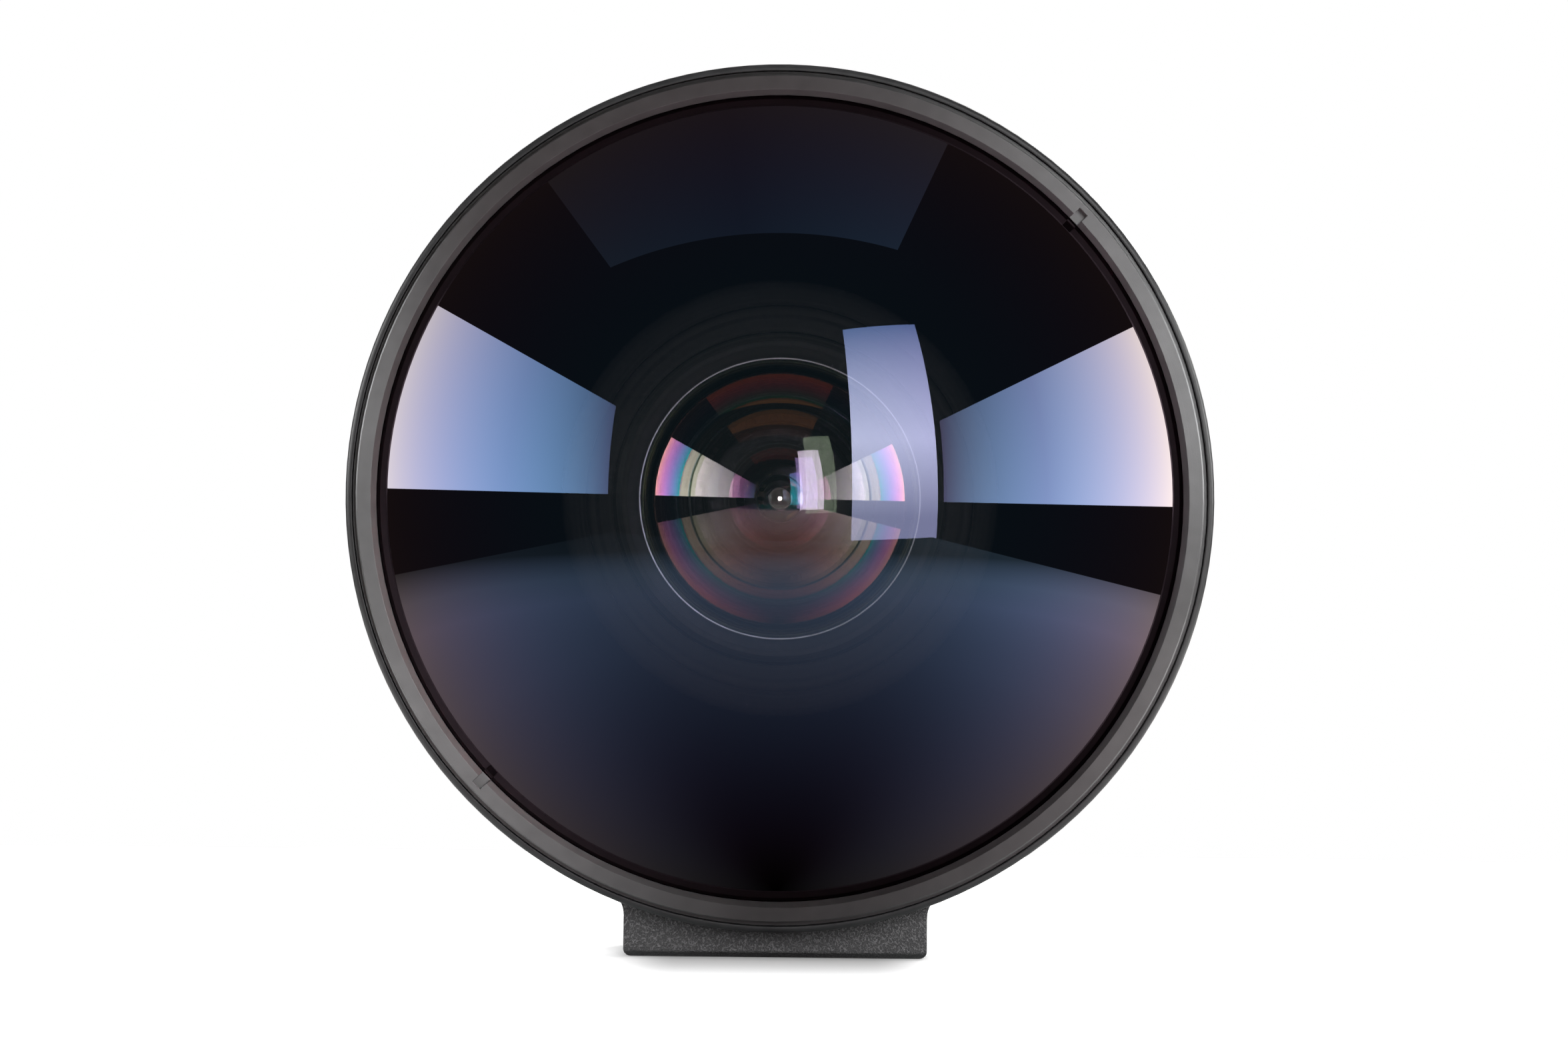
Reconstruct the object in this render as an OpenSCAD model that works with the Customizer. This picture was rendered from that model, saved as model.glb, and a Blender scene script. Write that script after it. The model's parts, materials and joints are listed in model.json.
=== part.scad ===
// Circular fisheye lens with a large domed front glass, a cast bell casing and a tripod foot.
// Each lens piece is drawn along +z, from the mount flange (z = 0, rear) to the dome (front).
// on_axis() then lays it down: the glass faces -Y and the foot stands on the ground plane.

/* [Stand] */
// Height of the front rim's lowest point above the ground
rim_lift = 7.5; // [6:0.5:14]
// Width of the foot
foot_w = 83; // [70:1:110]
// Length of the foot along the optical axis
foot_l = 43; // [40:1:52]
// Radius of the concave flare between the foot and the casing
foot_flare = 7.5; // [5:0.5:10]
// Radius of the two bottom corners of the foot
foot_corner = 2; // [1:0.5:4]
// Chamfer along the front and back edges of the foot's bottom face
foot_chamfer = 1.4; // [0.8:0.1:1.8]
// Thickness of the foot behind the casing band
foot_tail_h = 11.5; // [10:0.5:12.5]
// Distance of each tripod bush from the middle of the foot
bush_x = 14; // [11:0.5:18]
// Radius of the large tripod thread, 3/8 inch
bush_large_r = 4.76; // [4:0.01:5.5]
// Radius of the small tripod thread, 1/4 inch
bush_small_r = 3.175; // [2.5:0.005:4]
// Length of both tripod threads
bush_l = 8; // [5:0.5:8]

/* [Front rim] */
// Largest diameter of the lens
rim_d = 236; // [230:1:250]
// Length of the front rim
rim_l = 10.2; // [10:0.1:14]
// Wall of the rim around the retaining ring
rim_wall = 1.8; // [1.6:0.1:2.4]
// Radius of the rim's rounded front edge
rim_round = 1.4; // [0.8:0.1:1.5]

/* [Retaining ring] */
// Width of the flat front face
retainer_face = 4; // [3:0.1:5]
// Width of the inner bevel
retainer_bevel = 1.5; // [0.8:0.1:1.8]
// Height of the flat face above the glass edge
retainer_rise = 4.3; // [4:0.1:6]
// Width of the groove around the ring
retainer_groove = 0.9; // [0.6:0.1:1.2]
// Width of the two spanner notches
notch_w = 3; // [2:0.5:5]
// Direction of the first spanner notch
notch_angle = 44; // [0:1:180]

/* [Front glass] */
// Slope of the dome at its edge
dome_angle = 48.7; // [46:0.1:50]
// Thickness of the glass on the axis
glass_t = 14; // [10:0.5:18]
// Thickness of the glass at its edge
glass_edge = 11.5; // [9:0.5:13]
// Half width of the hollow behind the glass
hollow_r = 96; // [88:1:100]

/* [Bell casing] */
// Length of the straight band behind the rim
band_l = 14; // [13:0.5:20]
// Depth of the bowl from its neck to the band
bell_depth = 33.5; // [33:0.5:44]
// Thickness of the cast wall
bell_wall = 4; // [3:0.5:5]
// Radius of the rounded shoulder
bell_shoulder = 14; // [10:1:18]

/* [Second and third glass] */
// Radius of the second glass
second_r = 41; // [40.6:0.2:44]
// Slope of the second glass at its edge
second_angle = 48; // [44:1:54]
// Thickness of the second glass on the axis
second_t = 5; // [4:0.5:6]
// Slope of the third glass at its edge
third_angle = 46; // [42:0.1:50]
// Thickness of the third glass on the axis
third_t = 4; // [3:0.5:5]

/* [Barrel rings] */
// Thickness of the mount flange
mount_t = 3; // [2.5:0.25:5]
// Length of the fixed skirt behind the aperture ring
skirt_l = 3.5; // [2:0.5:6]
// Length of the aperture ring
aperture_l = 10; // [10:0.5:14]
// Length of the fixed ring with the index mark
index_l = 4; // [3.5:0.5:7]
// Length of the filter selector ring
filter_l = 11; // [10:0.5:15]
// Length of the fixed ring behind the focus ring
scale_l = 3.5; // [3:0.5:6]
// Length of the focus ring
focus_l = 18; // [17:0.5:24]
// Radius of the sliding focus tube
focus_tube_r = 38.5; // [38:0.1:39]
// Turn of the focus ring from far to near
focus_turn = 90; // [60:5:100]
// Forward travel of the focus tube
focus_travel = 1.5; // [0.8:0.1:1.6]
// Height of the rubber grip over the focus ring
grip_h = 3.2; // [2:0.2:5]

/* [Filter turret] */
// Gear module
gear_module = 1.5; // [1.45:0.01:1.6]
// Teeth of the selector ring's inner gear
ring_teeth = 50; // [49:1:54]
// Teeth of the turret disc
disc_teeth = 32; // [31:1:34]
// Thickness of the turret disc
disc_t = 3.2; // [2.5:0.1:4]
// Glass left between neighbouring filters
filter_web = 2.6; // [2:0.1:4]

/* [Iris] */
// Radius of the opening at the widest stop
iris_open_r = 6.8; // [6:0.1:7.5]
// Radius of the opening at the smallest stop
iris_close_r = 1.1; // [0.8:0.1:2]
// Width of each blade
blade_w = 8.7; // [8:0.1:9]
// Turn of the aperture ring from the widest to the smallest stop
aperture_turn = 36; // [30:1:38]

/* [Mount] */
// Radius of the mount flange
flange_r = 31; // [30:0.5:33]
// Radius of the mount's open throat
throat_r = 20.4; // [20:0.1:21]
// Length of the bayonet spigot behind the flange
spigot_l = 6; // [5:0.5:8]
// Turn of the stop lever
lever_turn = 12; // [6:1:16]

/* [Fits] */
// Axial gap beside a turning ring
run_gap = 0.25; // [0.15:0.05:0.4]
// Radial gap of a turning or sliding piece
run_fit = 0.2; // [0.15:0.05:0.3]
// Gap around a fixed piece in its seat
seat_fit = 0.1; // [0.05:0.05:0.2]

/* [Hidden] */
fine = 96;
blade_count = 7;
filter_names = ["clear", "yellow", "green", "orange", "red"];

// Stations along the axis, from the mount flange forward
z_aperture = mount_t + skirt_l + run_gap;
z_index = z_aperture + aperture_l + run_gap;
z_housing = z_index + index_l;
z_filter = z_housing + run_gap;
z_scale = z_filter + filter_l + run_gap;
z_focus = z_scale + scale_l + run_gap;
z_neck = z_focus + focus_l + run_gap;
z_band = z_neck + bell_depth;
z_rim = z_band + band_l;

// Front glass and its seat
rim_r = rim_d / 2;
band_r = rim_r - 2;
thread_r = rim_r - rim_wall;
face_r = thread_r - run_fit - retainer_groove;
bevel_r = face_r - retainer_face;
lip_r = bevel_r - retainer_bevel;
glass_r = lip_r + 1.6;
glass_bore_r = glass_r + seat_fit;
z_glass = z_rim - 4.8;
z_edge = z_glass + glass_edge;
dome_r = glass_r / sin(dome_angle);
z_apex = z_edge + dome_r - sqrt(pow(dome_r, 2) - pow(glass_r, 2));
hollow_h = z_apex - glass_t - z_glass;
hollow_ball_r = (pow(hollow_r, 2) + pow(hollow_h, 2)) / (2 * hollow_h);
z_face = z_edge + retainer_rise;
z_front = z_rim + rim_l;
z_shelf = z_edge + 0.3;
gasket_t = 0.8;
z_seat = z_glass - gasket_t;
ledge_t = 4;
ledge_w = 7.4;
ledge_r = glass_r - ledge_w;

// Focus tube, second and third glass
tube_in_r = focus_tube_r + run_fit;
tube_out_r = tube_in_r + 2.8;
z_second = z_glass - 15.6;
second_edge = 6.4;
second_ball_r = second_r / sin(second_angle);
z_second_edge = z_second + second_edge;
z_second_apex = z_second_edge + second_ball_r * (1 - cos(second_angle));
second_hollow_r = second_r - 7.5;
second_hollow_h = z_second_apex - second_t - z_second;
second_hollow_ball_r = (pow(second_hollow_r, 2) + pow(second_hollow_h, 2)) / (2 * second_hollow_h);
second_lip_r = second_r - 2.6;
cell_ledge_r = focus_tube_r + 0.7;
cell_r = second_r + 5;
third_r = focus_tube_r - 1.9;
z_third_edge = z_second - 5.6;
z_third = z_third_edge - 6;
third_ball_r = third_r / sin(third_angle);
z_third_apex = z_third_edge + third_ball_r * (1 - cos(third_angle));
third_hollow_r = third_r - 9.6;
third_hollow_h = z_third_apex - third_t - z_third;
third_hollow_ball_r = (pow(third_hollow_r, 2) + pow(third_hollow_h, 2)) / (2 * third_hollow_h);
third_lip_r = third_r - 1;
doublet_r = 19;
doublet_l = 10.6;
doublet_ball_r = 1.58 * doublet_r;
doublet_hollow_r = 4.74 * doublet_r;
z_doublet = z_focus + 8;
follower_r = 2;
follower_a = 30;
z_follower = z_focus + 6;
follower_end_r = tube_out_r + 2.4;

// Barrel radii
gear_pitch_r = gear_module * ring_teeth / 2;
gear_tip_r = gear_pitch_r - gear_module;
gear_root_r = gear_pitch_r + 1.25 * gear_module;
gear_out_r = gear_root_r + 2;
rear_bearing_r = gear_root_r + 0.3;
front_bearing_r = gear_out_r - run_fit;
filter_ring_r = gear_out_r + 3.6;
index_r = filter_ring_r + 1;
focus_ring_r = max(tube_out_r + 4.2, filter_ring_r + 0.6);
scale_r = focus_ring_r + 0.9;
grip_r = focus_ring_r + grip_h;
neck_r = grip_r + 1.6;
neck_l = 7;

// Filter turret
disc_pitch_r = gear_module * disc_teeth / 2;
disc_tip_r = disc_pitch_r + gear_module;
turret_x = gear_pitch_r - disc_pitch_r;
filter_r = turret_x * sin(180 / len(filter_names)) - filter_web / 2;
light_r = filter_r - 0.6;
z_disc = z_filter + (filter_l - disc_t) / 2;
z_cover = z_disc + disc_t + 1.5;
crescent_r = gear_tip_r - 0.6;
axle_r = 2;
screw_circle_r = crescent_r - 4.3;

// Iris
blade_out_r = iris_open_r + blade_w;
pivot_r = blade_out_r + 3;
blade_turn = 2 * asin((iris_open_r - iris_close_r) / (2 * pivot_r));
drive_arm = 4;
iris_pin_r = 0.5;
blade_t = 0.22;
blade_pitch = 0.32;
chamber_r = pivot_r + 9;
barrel_tube_r = chamber_r + 2;
aperture_in_r = barrel_tube_r + run_fit;
aperture_out_r = aperture_in_r + 3.4;
drive_t = 1.2;
z_drive = z_index - 3.1;
z_blades = z_drive + drive_t + 0.2;
z_iris_plate = z_blades + blade_count * blade_pitch + 0.15;
link_r = 1.2;
z_link = z_drive + 0.5;
link_angle = 20 + 2 * 360 / blade_count;

// Mount, stop lever and rear cell
lever_out_r = throat_r - 0.8;
lever_in_r = lever_out_r - 1.6;
lever_half = 5;
lever_angle = 215;
z_bulkhead = z_aperture + 0.75;
bulkhead_t = 2.5;
z_lever = z_bulkhead + bulkhead_t + 0.3;
lever_t = 1.4;
rear_cell_r = lever_in_r - 2.5;
rear_glass_r = rear_cell_r - 2.5;
z_rear = -7;

// Foot and ground
axis_h = rim_r + rim_lift;
z_foot_front = z_rim - 1;
foot_mid_z = z_foot_front - foot_l / 2;
saddle_r = band_r + seat_fit;
foot_lip_r = saddle_r + 0.7;
flare_x = foot_w / 2 + foot_flare;
flare_y = -sqrt(pow(foot_lip_r + foot_flare, 2) - pow(flare_x, 2));
flare_end = [flare_x, flare_y] * foot_lip_r / (foot_lip_r + foot_flare);
foot_screw_x = foot_w / 2 - 9.5;
foot_screw_xs = [for (share = [-1, -0.35, 0.35, 1]) share * foot_screw_x];
foot_screw_z = z_band + band_l / 2;

// Points along an arc
function arc(c, r, a0, a1, n = 10) =
    [for (i = [0:n]) c + r * [cos(a0 + (a1 - a0) * i / n), sin(a0 + (a1 - a0) * i / n)]];
// Height of a convex glass surface at radius r
function cap_z(apex, ball_r, r) = apex - ball_r + sqrt(pow(ball_r, 2) - pow(r, 2));
// Point at radius r and angle a
function polar(r, a) = r * [cos(a), sin(a)];
// Involute angle at radius r over the base circle b, in degrees
function involute(b, r) = r <= b ? 0 : sqrt(pow(r / b, 2) - 1) * 180 / PI - acos(b / r);
// Half the angle of a gear tooth at radius r, with play in millimetres at the pitch circle
function tooth_half(n, r, play) =
    90 / n + involute(cos(20), 1) - involute(gear_module * n / 2 * cos(20), r)
    + play / (gear_module * n / 2) * 180 / PI;
// Drive pin of an iris blade after a share t of its turn, in the frame of the drive ring
function slot_point(t) =
    let (
        a = t * blade_turn,
        q = [pivot_r - drive_arm * sin(a), drive_arm * cos(a)],
        b = -t * aperture_turn
    )
    [q[0] * cos(b) - q[1] * sin(b), q[0] * sin(b) + q[1] * cos(b)];

module on_axis() {
    translate([0, foot_mid_z, axis_h])
        rotate([90, 0, 0])
            children();
}

module turned() {
    rotate_extrude($fn = fine)
        children();
}

module sector(a0, a1) {
    rotate([0, 0, a0])
        rotate_extrude(angle = a1 - a0, $fn = fine)
            children();
}

module band(r0, r1, z0, z1) {
    translate([r0, z0])
        square([r1 - r0, z1 - z0]);
}

module rod(r, z0, z1) {
    translate([0, 0, z0])
        cylinder(r = r, h = z1 - z0, $fn = 48);
}

module around(n, r, a0 = 0) {
    for (i = [0:n - 1])
        rotate([0, 0, a0 + i * 360 / n])
            translate([r, 0, 0])
                children();
}

// Places on the turret housing's crescent for the screws through the barrel
module barrel_screw_places() {
    for (a = [120, 180, 240])
        rotate([0, 0, a])
            translate([screw_circle_r, 0, 0])
                children();
}

// Convex front of ball_r, flat rim at the back with a hollow of hollow_ball_r
module meniscus(r, z_back, apex, ball_r, hollow_apex, hollow_ball_r) {
    turned()
        difference() {
            intersection() {
                translate([0, apex - ball_r])
                    circle(ball_r, $fn = fine);
                band(0, r, z_back, apex + 1);
            }
            translate([0, hollow_apex - hollow_ball_r])
                circle(hollow_ball_r, $fn = fine);
        }
}

module gear_outline(n, r0, r1, play) {
    steps = 4;
    radii = [for (i = [0:steps]) r0 + (r1 - r0) * i / steps];
    polygon([
        for (k = [0:n - 1])
            for (side = [-1, 1])
                for (i = [0:steps])
                    let (r = radii[side < 0 ? i : steps - i])
                    polar(r, k * 360 / n + side * tooth_half(n, r, play))
    ]);
}

module front_element() {
    color([0.1, 0.13, 0.25])
        on_axis()
            meniscus(glass_r, z_glass, z_apex, dome_r, z_apex - glass_t, hollow_ball_r);
}

module front_retainer() {
    lip_z = cap_z(z_apex, dome_r, lip_r) + 0.15;
    foot_z = z_shelf + 0.2;
    step_z = z_face - 1.8;
    color([0.45, 0.46, 0.48])
        on_axis()
            difference() {
                turned()
                    polygon([
                        [thread_r - run_fit, foot_z], [thread_r - run_fit, step_z],
                        [face_r, step_z], [face_r, z_face - 0.3], [face_r - 0.3, z_face],
                        [bevel_r, z_face], [lip_r, z_face - retainer_bevel], [lip_r, lip_z],
                        [glass_r, foot_z]
                    ]);
                for (a = [notch_angle, notch_angle + 180])
                    rotate([0, 0, a])
                        translate([lip_r - 1, -notch_w / 2, z_face - 2])
                            cube([bevel_r + 2.2 - lip_r + 1, notch_w, 3]);
            }
}

module front_barrel() {
    lip_top = z_rim + 2.2;
    color([0.07, 0.07, 0.08])
        on_axis()
            turned()
                polygon(concat(
                    [[rim_r, z_rim]],
                    arc([rim_r - rim_round, z_front - rim_round], rim_round, 0, 90, 8),
                    [[thread_r + 0.2, z_front], [thread_r, z_front - 0.2], [thread_r, z_shelf],
                     [glass_bore_r, z_shelf], [glass_bore_r, lip_top],
                     [glass_r + 2.5, lip_top], [glass_r + 2.5, z_rim]]
                ));
}

module glass_gasket() {
    color([0.03, 0.03, 0.03])
        on_axis()
            turned()
                band(ledge_r + 1, glass_r - 0.2, z_seat, z_glass);
}

module bell_casing() {
    shoulder = [band_r - bell_shoulder, z_band];
    cone_foot = [neck_r, z_neck + 3];
    to_foot = cone_foot - shoulder;
    meet = atan2(to_foot[1], to_foot[0]) + acos(bell_shoulder / norm(to_foot));
    inner_foot = cone_foot - polar(bell_wall, meet);
    color([0.05, 0.05, 0.055])
        on_axis()
            difference() {
                turned()
                    polygon(concat(
                        [[neck_r, z_neck], cone_foot],
                        arc(shoulder, bell_shoulder, meet, 0),
                        [[band_r, z_rim], [glass_r + 2.3, z_rim], [glass_r + 2.3, z_rim + 2],
                         [glass_bore_r, z_rim + 2], [glass_bore_r, z_seat], [ledge_r, z_seat],
                         [ledge_r, z_seat - ledge_t], [band_r - bell_wall, z_seat - ledge_t]],
                        arc(shoulder, bell_shoulder - bell_wall, 0, meet),
                        [inner_foot, [tube_out_r + seat_fit, z_neck + neck_l],
                         [tube_out_r + seat_fit, z_neck]]
                    ));
                around(6, glass_r - 3.5)
                    rod(1.55, z_seat - ledge_t - 1, z_seat - 1);
                around(3, 0, 90)
                    translate([0, 0, z_neck + 1.8])
                        rotate([0, 90, 0])
                            rod(1.3, tube_out_r - 1, neck_r + 5);
                foot_screw_places()
                    rod(2.1, -band_r - 5, foot_screw_top($x) + 0.3);
            }
}

// Height of a foot screw's end inside the casing band
function foot_screw_top(x) = 2.5 - sqrt(pow(band_r, 2) - pow(x, 2));

// Moves children, drawn upward along z, to the four vertical foot screws
module foot_screw_places() {
    for ($x = foot_screw_xs)
        translate([$x, 0, foot_screw_z])
            rotate([90, 0, 0])
                mirror([0, 0, 1])
                    children();
}

module tripod_foot() {
    corner = [foot_w / 2 - foot_corner, foot_corner - axis_h];
    half = concat(
        arc(corner, foot_corner, -90, 0, 5),
        arc([flare_x, flare_y], foot_flare, 180, atan2(-flare_y, -flare_x), 10)
    );
    tail_y = foot_tail_h - axis_h;
    z_back = z_foot_front - foot_l;
    color([0.05, 0.05, 0.05])
        on_axis()
            difference() {
                translate([0, 0, z_back])
                    linear_extrude(height = foot_l)
                        difference() {
                            polygon(concat(half, [for (i = [len(half) - 1:-1:0]) [-half[i][0], half[i][1]]]));
                            circle(saddle_r, $fn = fine);
                        }
                translate([-foot_w, tail_y, z_back - 1])
                    cube([2 * foot_w, axis_h, z_band - z_back + 1]);
                for (z = [z_foot_front, z_back])
                    translate([0, -axis_h, z])
                        rotate([45, 0, 0])
                            cube([2 * foot_w, foot_chamfer * sqrt(2), foot_chamfer * sqrt(2)], center = true);
                foot_screw_places() {
                    rod(2.2, -axis_h - 1, -band_r / 2);
                    rod(3.7, -axis_h - 1, 4.5 - axis_h);
                }
                bush_place(bush_x)
                    rod(bush_large_r + 2.4 + seat_fit, -1, bush_l + seat_fit);
                bush_place(-bush_x)
                    rod(bush_small_r + 2 + seat_fit, -1, bush_l + seat_fit);
            }
}

module foot_screws() {
    color([0.25, 0.25, 0.26])
        on_axis()
            foot_screw_places()
                difference() {
                    union() {
                        rod(3.5, 0.8 - axis_h, 4.5 - axis_h);
                        rod(2, 1 - axis_h, foot_screw_top($x));
                    }
                    translate([0, 0, -axis_h])
                        cylinder(r = 1.8, h = 2.8, $fn = 6);
                }
}

module bush_place(x) {
    translate([x, -axis_h, foot_mid_z])
        rotate([-90, 0, 0])
            children();
}

module tripod_bush(r, wall) {
    difference() {
        rod(r + wall, 0, bush_l);
        rod(r, -1, bush_l + 1);
    }
}

module tripod_bush_large() {
    color([0.55, 0.55, 0.56])
        on_axis()
            bush_place(bush_x)
                tripod_bush(bush_large_r, 2.4);
}

module tripod_bush_small() {
    color([0.55, 0.55, 0.56])
        on_axis()
            bush_place(-bush_x)
                tripod_bush(bush_small_r, 2);
}

module front_cell() {
    steps = 8;
    rim = ledge_r - 0.3;
    top = z_glass - 1.2;
    drop = (top - z_second_edge - 0.6) / steps;
    run = (rim - cell_r) / steps;
    under = z_seat - ledge_t - 3;
    color([0.02, 0.02, 0.022])
        on_axis()
            difference() {
                turned()
                    polygon(concat(
                        [[glass_r, under], [glass_r, under + 3], [rim, under + 3]],
                        [for (i = [0:steps - 1], j = [0, 1]) [rim - run * (i + j), top - drop * i]],
                        [[cell_r, z_second_edge + 0.3], [second_r + seat_fit, z_second_edge + 0.3],
                         [second_r + seat_fit, z_second], [cell_ledge_r, z_second],
                         [cell_ledge_r, z_second - 2.6], [cell_r, z_second - 2.6], [rim - 4, under]]
                    ));
                around(6, glass_r - 3.5)
                    rod(1.65, under - 1, under + 4);
            }
}

module cell_screws() {
    head = z_seat - ledge_t - 3;
    color([0.3, 0.3, 0.31])
        on_axis()
            around(6, glass_r - 3.5)
                difference() {
                    union() {
                        rod(2.7, head - 1.8, head);
                        rod(1.5, head - 1, z_seat - 1.2);
                    }
                    translate([-3, -0.4, head - 2])
                        cube([6, 0.8, 0.9]);
                }
}

module second_element() {
    color([0.35, 0.2, 0.35])
        on_axis()
            meniscus(second_r, z_second, z_second_apex, second_ball_r,
                     z_second_apex - second_t, second_hollow_ball_r);
}

module second_retainer() {
    lip_z = cap_z(z_second_apex, second_ball_r, second_lip_r) + 0.15;
    color([0.4, 0.4, 0.42])
        on_axis()
            turned()
                polygon([
                    [cell_r - 1, z_second_edge + 0.3], [cell_r - 1, lip_z + 0.6],
                    [second_r + 2.4, lip_z + 1.8], [second_r + 0.8, lip_z + 1.8],
                    [second_lip_r, lip_z + 0.6], [second_lip_r, lip_z],
                    [second_r + seat_fit, z_second_edge + 0.3]
                ]);
}

module focus_tube() {
    z_web = z_doublet + 4;
    z_back = z_focus + 2;
    color([0.06, 0.06, 0.065])
        on_axis()
            difference() {
                turned() {
                    band(focus_tube_r - 3.2, focus_tube_r, z_back, z_third);
                    band(third_r + seat_fit, focus_tube_r, z_third - 1, z_third_edge + 0.2);
                    band(third_r - 3.4, focus_tube_r, z_third - 4, z_third);
                    band(doublet_r + 3, focus_tube_r, z_web, z_web + 4);
                    band(doublet_r + seat_fit, doublet_r + 3.5, z_doublet, z_doublet + doublet_l);
                    band(doublet_r - 2.6, doublet_r + 3.5, z_doublet - 2.5, z_doublet);
                }
                followers(follower_r + 0.02);
            }
}

// Radial holes or pins of the three cam followers
module followers(r) {
    around(3, 0, follower_a)
        translate([0, 0, z_follower])
            rotate([0, 90, 0])
                rod(r, focus_tube_r - 2.2, follower_end_r);
}

module cam_followers() {
    color([0.7, 0.6, 0.35])
        on_axis()
            followers(follower_r);
}

module third_element() {
    color([0.25, 0.3, 0.2])
        on_axis()
            meniscus(third_r, z_third, z_third_apex, third_ball_r,
                     z_third_apex - third_t, third_hollow_ball_r);
}

module third_retainer() {
    lip_z = cap_z(z_third_apex, third_ball_r, third_lip_r) + 0.15;
    color([0.12, 0.12, 0.13])
        on_axis()
            turned()
                polygon([
                    [focus_tube_r - 0.3, z_third_edge + 0.2], [focus_tube_r - 0.3, lip_z + 1.1],
                    [third_lip_r + 0.6, lip_z + 1.1], [third_lip_r, lip_z + 0.5],
                    [third_lip_r, lip_z], [third_r + seat_fit, z_third_edge + 0.2]
                ]);
}

module doublet_rear() {
    color([0.2, 0.25, 0.3])
        on_axis()
            turned()
                intersection() {
                    translate([0, z_doublet + 7.5 - doublet_ball_r])
                        circle(doublet_ball_r, $fn = fine);
                    band(0, doublet_r, z_doublet, z_doublet + 8);
                }
}

module doublet_front() {
    color([0.2, 0.3, 0.25])
        on_axis()
            turned()
                difference() {
                    band(0, doublet_r, z_doublet + 0.9, z_doublet + doublet_l - 0.1);
                    translate([0, z_doublet + 7.6 - doublet_ball_r])
                        circle(doublet_ball_r, $fn = fine);
                    translate([0, z_doublet + 8.8 + doublet_hollow_r])
                        circle(doublet_hollow_r, $fn = fine);
                }
}

module doublet_retainer() {
    color([0.12, 0.12, 0.13])
        on_axis()
            turned()
                polygon([
                    [doublet_r - 1.6, z_doublet + doublet_l], [doublet_r + 3.2, z_doublet + doublet_l],
                    [doublet_r + 3.2, z_doublet + 12], [doublet_r - 0.4, z_doublet + 12]
                ]);
}

module mid_barrel() {
    slot_l = 2 * follower_r + focus_travel + 0.6;
    color([0.07, 0.07, 0.075])
        on_axis()
            difference() {
                turned() {
                    band(light_r + 6, front_bearing_r, z_cover, z_scale + 0.5);
                    band(tube_in_r, scale_r, z_scale, z_scale + scale_l);
                    band(light_r + 6, tube_out_r, z_scale, z_scale + 1.5);
                    band(tube_in_r, tube_out_r, z_scale + 1, z_neck + neck_l - 0.5);
                }
                around(3, tube_in_r + 1.4, follower_a)
                    translate([0, 0, z_follower + focus_travel / 2])
                        cube([6, 2 * (follower_r + 0.1), slot_l], center = true);
                around(3, 0, 90)
                    translate([0, 0, z_neck + 1.8])
                        rotate([0, 90, 0])
                            rod(1.3, tube_in_r - 1, neck_r + 5);
                barrel_screw_places()
                    rod(1.6, z_cover - 1, z_scale - 0.6);
            }
}

module neck_screws() {
    color([0.3, 0.3, 0.31])
        on_axis()
            around(3, 0, 90)
                translate([0, 0, z_neck + 1.8])
                    rotate([0, 90, 0])
                        difference() {
                            rod(1.2, tube_in_r + 0.4, neck_r - 0.6);
                            translate([-2, -0.25, neck_r - 1.2])
                                cube([4, 0.5, 2]);
                        }
}

module focus_ring() {
    steps = 18;
    pin_r = tube_out_r + 1.2;
    lead = atan(focus_travel / (pin_r * focus_turn * PI / 180));
    piece_l = pin_r * focus_turn * PI / 180 / steps + 1;
    skirt = 5;
    color([0.06, 0.06, 0.065])
        on_axis()
            difference() {
                turned() {
                    band(tube_out_r + run_fit, focus_ring_r, z_focus, z_focus + focus_l);
                    band(tube_out_r + run_fit, scale_r, z_focus, z_focus + skirt);
                }
                for (k = [0:2], i = [0:steps])
                    rotate([0, 0, follower_a + 120 * k - focus_turn * i / steps])
                        translate([pin_r, 0, z_follower + focus_travel * i / steps])
                            rotate([-lead, 0, 0])
                                cube([2 * 1.5, i == 0 || i == steps ? 2 * follower_r + 0.6 : piece_l,
                                      2 * follower_r + 0.3], center = true);
            }
}

module focus_grip() {
    z0 = z_focus + 5.3;
    z1 = z_focus + focus_l - 0.5;
    rows = 3;
    pitch = (z1 - z0) / rows;
    color([0.03, 0.03, 0.03])
        on_axis()
            difference() {
                turned()
                    difference() {
                        band(focus_ring_r, grip_r, z0, z1);
                        for (i = [1:rows - 1])
                            band(grip_r - 1, grip_r + 1, z0 + pitch * i - 0.4, z0 + pitch * i + 0.4);
                    }
                around(44, grip_r)
                    translate([-1, -0.7, z0 - 1])
                        cube([2, 1.4, z1 - z0 + 2]);
            }
}

module filter_ring() {
    color([0.07, 0.07, 0.075])
        on_axis()
            difference() {
                turned()
                    polygon([
                        [rear_bearing_r + run_fit, z_filter], [filter_ring_r - 0.5, z_filter],
                        [filter_ring_r, z_filter + 0.5], [filter_ring_r, z_filter + filter_l - 0.5],
                        [filter_ring_r - 0.5, z_filter + filter_l], [gear_out_r + 0.05, z_filter + filter_l],
                        [gear_out_r + 0.05, z_disc], [rear_bearing_r + run_fit, z_disc]
                    ]);
                around(60, filter_ring_r)
                    rotate([0, 0, 45])
                        translate([-0.55, -0.55, z_filter + 2])
                            cube([1.1, 1.1, filter_l - 4]);
            }
}

module selector_gear() {
    color([0.7, 0.62, 0.4])
        on_axis()
            translate([0, 0, z_disc])
                linear_extrude(height = disc_t)
                    difference() {
                        circle(gear_out_r, $fn = fine);
                        gear_outline(ring_teeth, gear_tip_r, gear_root_r, 0.1);
                    }
}

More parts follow.
